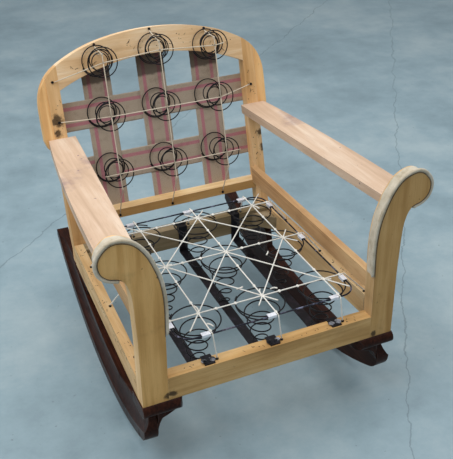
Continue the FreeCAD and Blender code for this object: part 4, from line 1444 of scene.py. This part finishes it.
@dataclass
class ArmRolls:
    """Padded rolls round the arm fronts' scrolls, and the cloth behind them.

    The knots follow the edge of the right scroll from its foot, as millimetres
    across and above the frame's underside, with the edge's aim in degrees.
    """

    palette: Palette
    radius: float = 5 * MM
    set_back: float = 2 * MM
    shadow_line: float = 0.8 * MM
    shadow_line_in: float = 0.6 * MM
    depth: float = 35 * MM
    cloth: float = 0.8 * MM
    cloth_gap: float = 0.4 * MM
    cloth_start: float = 1 * MM
    steps: int = 12
    knots: tuple = ((293, 200, 90), (292, 300, 87), (307, 388, 70), (330, 442, 59),
                    (366, 480, 26), (404, 487, -12), (432, 466, -52), (441, 438, -94),
                    (431, 411, -132), (408, 397, -168), (388, 388, -134))

    def build(self) -> int:
        """Make the rolls, seams and cloths of both arms.

        Returns:
            How many pieces were made.
        """
        for side, way in zip(SIDES, (-1, 1)):
            self._roll(side, way)
            self._lay_shadow_line(side, way)
            self._flange(side, way)
        return 3 * len(SIDES)

    def _route(self, off: float, way: int) -> list[tuple[float, float]]:
        """Follow the scroll's edge at a distance outside it.

        Args:
            off: Distance from the wood.
            way: Minus one for the left arm, one for the right.
        Returns:
            Places across and up.
        """
        places = []
        for (ax, az, aim), (bx, bz, end) in zip(self.knots, self.knots[1:]):
            chord = math.hypot(bx - ax, bz - az)
            first, last = math.radians(aim), math.radians(end)
            turn = last - first
            # Tangents of this length bring the curve close to an arc
            reach = chord * 2 * math.tan(turn / 4) / math.sin(turn / 2)
            for index in range(self.steps):
                t = index / self.steps
                weights = (2 * t ** 3 - 3 * t ** 2 + 1, t ** 3 - 2 * t ** 2 + t,
                           3 * t ** 2 - 2 * t ** 3, t ** 3 - t ** 2)
                x = sum(weight * part for weight, part in zip(
                    weights, (ax, reach * math.cos(first), bx, reach * math.cos(last))))
                z = sum(weight * part for weight, part in zip(
                    weights, (az, reach * math.sin(first), bz, reach * math.sin(last))))
                here = first + turn * t
                places.append((way * (x * MM - math.sin(here) * off),
                               z * MM + UNDERSIDE + math.cos(here) * off))
        return places

    def _roll(self, side: str, way: int) -> None:
        """Make one padded roll.

        Args:
            side: Name of the side.
            way: Its direction across.
        """
        middle = FRONT_FACE + self.radius - self.set_back
        path = [Vector((x, middle, z)) for x, z in self._route(self.radius + CLEAR, way)]

        def swell(share: float) -> float:
            """Give the roll's radius, puckered and closed at its ends.

            Args:
                share: Share of the roll's length.
            Returns:
                The radius there.
            """
            close = min(1.0, share * 90 + 0.25, (1 - share) * 90 + 0.25)
            pucker = 0.03 * math.sin(share * 230) + 0.02 * math.sin(share * 517 + 1)
            return self.radius * (0.94 + pucker) * close

        tubes = TubeSet(sides=16)
        tubes.tube(path, swell)
        roll = tubes.build(side + "_edge_roll_padding")
        dress(roll, self.palette["unbleached_roll_cloth"])
        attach(roll, "chair")
        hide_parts(side + "_edge_roll")

    def _lay_shadow_line(self, side: str, way: int) -> None:
        """Make the dark line between a roll and the post's face: a painted shadow.

        Args:
            side: Name of the side.
            way: Its direction across.
        """
        path = [Vector((x, FRONT_FACE - self.shadow_line_in, z))
                for x, z in self._route(-self.shadow_line_in, way)]
        tubes = TubeSet(sides=8)
        tubes.tube(path, self.shadow_line)
        shadow_line = tubes.build(side + "_edge_roll_seam")
        dress(shadow_line, self.palette["soiled_seam_cloth"])
        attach(shadow_line, "chair")

    def _flange(self, side: str, way: int) -> None:
        """Make the cloth that covers the post's edge behind a roll.

        Args:
            side: Name of the side.
            way: Its direction across.
        """
        across = 6
        near = self._route(self.cloth_gap, way)
        far = self._route(self.cloth_gap + self.cloth, way)
        points = []
        rings = []
        for index, (inner, outer) in enumerate(zip(near, far)):
            ripple = 0.25 * math.sin(index * 0.9) + 0.25 * math.sin(index * 0.37)
            edge = self.depth * (1 + 0.03 * math.sin(index * 0.63))
            ring = []
            for layer, order in ((1, range(across + 1)), (0, reversed(range(across + 1)))):
                for place in order:
                    share = place / across
                    lift = layer * (1 + ripple * math.sin(math.pi * share))
                    ring.append(len(points))
                    points.append(Vector((
                        inner[0] + (outer[0] - inner[0]) * lift,
                        FRONT_FACE + self.cloth_start + (edge - self.cloth_start) * share,
                        inner[1] + (outer[1] - inner[1]) * lift)))
            rings.append(ring)
        faces = [tuple(reversed(rings[0])), tuple(rings[-1])]
        for ring, after in zip(rings, rings[1:]):
            for place in range(len(ring)):
                follow = (place + 1) % len(ring)
                faces.append((ring[place], ring[follow], after[follow], after[place]))
        if way > 0:
            faces = [tuple(reversed(face)) for face in faces]
        flange = new_mesh(side + "_arm_front_cloth", points, faces, smooth=False)
        dress(flange, self.palette["unbleached_roll_cloth"])
        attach(flange, "chair")


@dataclass
class TackMarks:
    """Old tack holes and staples in the rails, scattered by Geometry Nodes.

    The patches of wood that hold them are given as two insets on the side rails'
    tops, two heights on their outer faces, and places across and up the back.
    """

    palette: Palette
    seed: int = 21
    density: float = 2400.0
    radius: float = 1.5 * MM
    relief: float = 0.4 * MM
    staple: tuple[float, float, float] = (9 * MM, 1.1 * MM, 0.5 * MM)
    smallest: float = 0.55
    largest: float = 1.25
    holes_per_staple: int = 4
    lift: float = 0.1 * MM
    rail_patch: tuple[float, float] = (0.262, 0.290)
    top_patch: tuple[float, float] = (4 * MM, 22 * MM)
    back_patches: tuple = ((-0.14, 0.14, 0.442, 0.474), (-0.27, -0.15, 0.402, 0.432),
                           (0.15, 0.27, 0.402, 0.432), (-0.33, -0.302, 0.03, 0.34),
                           (0.302, 0.33, 0.03, 0.34))

    def build(self) -> int:
        """Scatter the marks and keep them as one mesh.

        Returns:
            How many faces the marks have.
        """
        points = []
        faces = []
        for patch in self._patches():
            faces.append(tuple(range(len(points), len(points) + len(patch))))
            points += patch
        wood = new_mesh("mark_patches", points, faces, smooth=False)
        marks = run_tree(wood, self._tree(), {
            "Density": self.density, "Seed": self.seed, "Hole Radius": self.radius,
            "Hole Depth": self.relief, "Staple Size": self.staple, "Smallest": self.smallest,
            "Largest": self.largest, "Material": self.palette["rusty_tack_hole"]},
            "old_tack_holes")
        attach(marks, "chair")
        return len(marks.data.polygons)

    def _patches(self) -> list[list[Vector]]:
        """List the patches of wood that hold marks.

        Returns:
            Corners of each patch, anticlockwise seen from outside.
        """
        patches = []
        front, rear = POST_BACK + 10 * MM, REAR_FACE - 20 * MM
        near, far = self.top_patch
        low, high = self.rail_patch
        for way in (-1, 1):
            top = [Vector((way * (rail_outer(y) - inset), y, RAIL_TOP + self.lift))
                   for y, inset in ((front, near), (rear, near), (rear, far), (front, far))]
            outer = [Vector((way * (rail_outer(y) + self.lift), y, z))
                     for y, z in ((front, low), (rear, low), (rear, high), (front, high))]
            patches += [top, outer] if way > 0 else [top[::-1], outer[::-1]]
        first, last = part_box("front_seat_rail")
        inset = 10 * MM
        patches.append([Vector((x, y, last.z + self.lift)) for x, y in (
            (first.x + inset, first.y + 6 * MM), (last.x - inset, first.y + 6 * MM),
            (last.x - inset, last.y - 12 * MM), (first.x + inset, last.y - 12 * MM))])
        for left, right, bottom, top in self.back_patches:
            patches.append([raked(x, -self.lift, up) for x, up in (
                (left, bottom), (right, bottom), (right, top), (left, top))])
        return patches

    def _tree(self) -> bpy.types.NodeTree:
        """Build the node tree that scatters holes and staples.

        Returns:
            The tree.
        """
        tree = new_tree("scatter_tack_marks", {
            "Density": "Float", "Seed": "Int", "Hole Radius": "Float", "Hole Depth": "Float",
            "Staple Size": "Vector", "Smallest": "Float", "Largest": "Float",
            "Material": "Material"})
        given = add_node(tree, "NodeGroupInput").outputs
        scatter = add_node(tree, "GeometryNodeDistributePointsOnFaces",
                           {"Mesh": given["Geometry"], "Density": given["Density"],
                            "Seed": given["Seed"]}).outputs
        # The holes are dark discs: rust stain and painted shade of the hole
        hole = add_node(tree, "GeometryNodeMeshCylinder",
                        {"Vertices": 9, "Radius": given["Hole Radius"],
                         "Depth": given["Hole Depth"]})
        staple = add_node(tree, "GeometryNodeMeshCube", {"Size": given["Staple Size"]})
        kinds = add_node(tree, "GeometryNodeGeometryToInstance", {0: staple})
        for _ in range(self.holes_per_staple):
            tree.links.new(hole.outputs["Mesh"], kinds.inputs[0])
        spin = add_node(tree, "FunctionNodeRandomValue",
                        {"Min": (0.0, 0.0, 0.0), "Max": (0.0, 0.0, 6.283)},
                        data_type="FLOAT_VECTOR")
        turned = add_node(tree, "FunctionNodeRotateRotation",
                          {"Rotation": scatter["Rotation"], "Rotate By": spin},
                          rotation_space="LOCAL")
        size = add_node(tree, "FunctionNodeRandomValue",
                        {"Min": given["Smallest"], "Max": given["Largest"]}, data_type="FLOAT")
        placed = add_node(tree, "GeometryNodeInstanceOnPoints",
                          {"Points": scatter["Points"], "Instance": kinds, "Pick Instance": True,
                           "Rotation": turned, "Scale": size})
        real = add_node(tree, "GeometryNodeRealizeInstances", {"Geometry": placed})
        finish = add_node(tree, "GeometryNodeSetMaterial",
                          {"Geometry": real, "Material": given["Material"]})
        add_node(tree, "NodeGroupOutput", {"Geometry": finish})
        return tree


@dataclass(frozen=True)
class Lamp:
    """One square lamp over the chair; power in watts."""

    name: str
    place: tuple[float, float, float]
    size: float
    power: float


@dataclass
class Studio:
    """Camera, floor and lights; the camera is the one that took the photograph."""

    camera_place: tuple[float, float, float] = (-0.8127, -1.9829, 1.7080)
    azimuth: float = -24.398
    elevation: float = 30.386
    roll: float = -0.480
    focal: float = 859.89  # in pixels of the photograph, as are the next two
    centre: tuple[float, float] = (235.13, 217.45)
    picture: tuple[int, int] = (453, 459)
    sensor: float = 36.0
    floor_half: float = 12.0
    aimed_at: tuple[float, float, float] = (0.0, 0.0, 0.4)
    sky: str = "E8EEF2"
    sky_strength: float = 0.5
    lamps: tuple[Lamp, ...] = (Lamp("key", (-1.9, -0.3, 3.4), 2.4, 74.0),
                               Lamp("fill", (2.4, 0.0, 2.8), 2.5, 22.0),
                               Lamp("top", (0.3, 0.7, 3.6), 3.0, 46.0))

    def build(self) -> None:
        """Make the camera, floor and lights."""
        self._camera()
        self._floor()
        self._lights()

    def _camera(self) -> None:
        """Place the camera that matches the photograph."""
        data = bpy.data.cameras.new("camera")
        camera = bpy.data.objects.new("camera", data)
        bpy.context.scene.collection.objects.link(camera)
        long_side = max(self.picture)
        data.sensor_fit = "AUTO"
        data.sensor_width = self.sensor
        data.lens = self.focal * self.sensor / long_side
        data.shift_x = (self.picture[0] / 2 - self.centre[0]) / long_side
        data.shift_y = (self.centre[1] - self.picture[1] / 2) / long_side
        turn, rise = math.radians(self.azimuth), math.radians(self.elevation)
        back = Vector((math.sin(turn) * math.cos(rise), -math.cos(turn) * math.cos(rise),
                       math.sin(rise)))
        aim = (-back).to_track_quat("-Z", "Y").to_matrix().to_4x4()
        camera.matrix_world = (Matrix.Translation(self.camera_place) @ aim
                               @ Matrix.Rotation(math.radians(self.roll), 4, "Z"))
        data.clip_end = 100
        bpy.context.scene.camera = camera

    def _floor(self) -> None:
        """Lay the floor."""
        half = self.floor_half
        corners = [(-half, -half, 0), (half, -half, 0), (half, half, 0), (-half, half, 0)]
        floor = new_mesh("floor", corners, [(0, 1, 2, 3)], smooth=False)
        dress(floor, WorkshopFloor().build())

    def _lights(self) -> None:
        """Hang the lamps and set the world."""
        for lamp in self.lamps:
            data = bpy.data.lights.new(lamp.name, "AREA")
            data.shape = "SQUARE"
            data.size = lamp.size
            data.energy = lamp.power
            hung = bpy.data.objects.new(lamp.name, data)
            bpy.context.scene.collection.objects.link(hung)
            hung.location = lamp.place
            down = Vector(self.aimed_at) - Vector(lamp.place)
            hung.rotation_euler = down.to_track_quat("-Z", "Y").to_euler()
        world = bpy.data.worlds.new("workshop")
        world.use_nodes = True
        background = world.node_tree.nodes["Background"]
        background.inputs["Color"].default_value = linear(self.sky)
        background.inputs["Strength"].default_value = self.sky_strength
        bpy.context.scene.world = world


def main() -> None:
    """Build the scene."""
    logging.basicConfig(level=logging.INFO, format="%(message)s")
    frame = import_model()
    palette = Palette()
    LOG.info("rigid nodes dressed: %d", Carcass(frame["nodes"], palette).build())
    LOG.info("seat pieces: %d", SeatUnit(palette).build())
    LOG.info("back pieces: %d", BackUnit(palette).build())
    LOG.info("arm front pieces: %d", ArmRolls(palette).build())
    LOG.info("tack mark faces: %d", TackMarks(palette).build())
    Studio().build()
    scene = bpy.context.scene
    scene.view_settings.view_transform = "Standard"


if __name__ == "__main__":
    main()
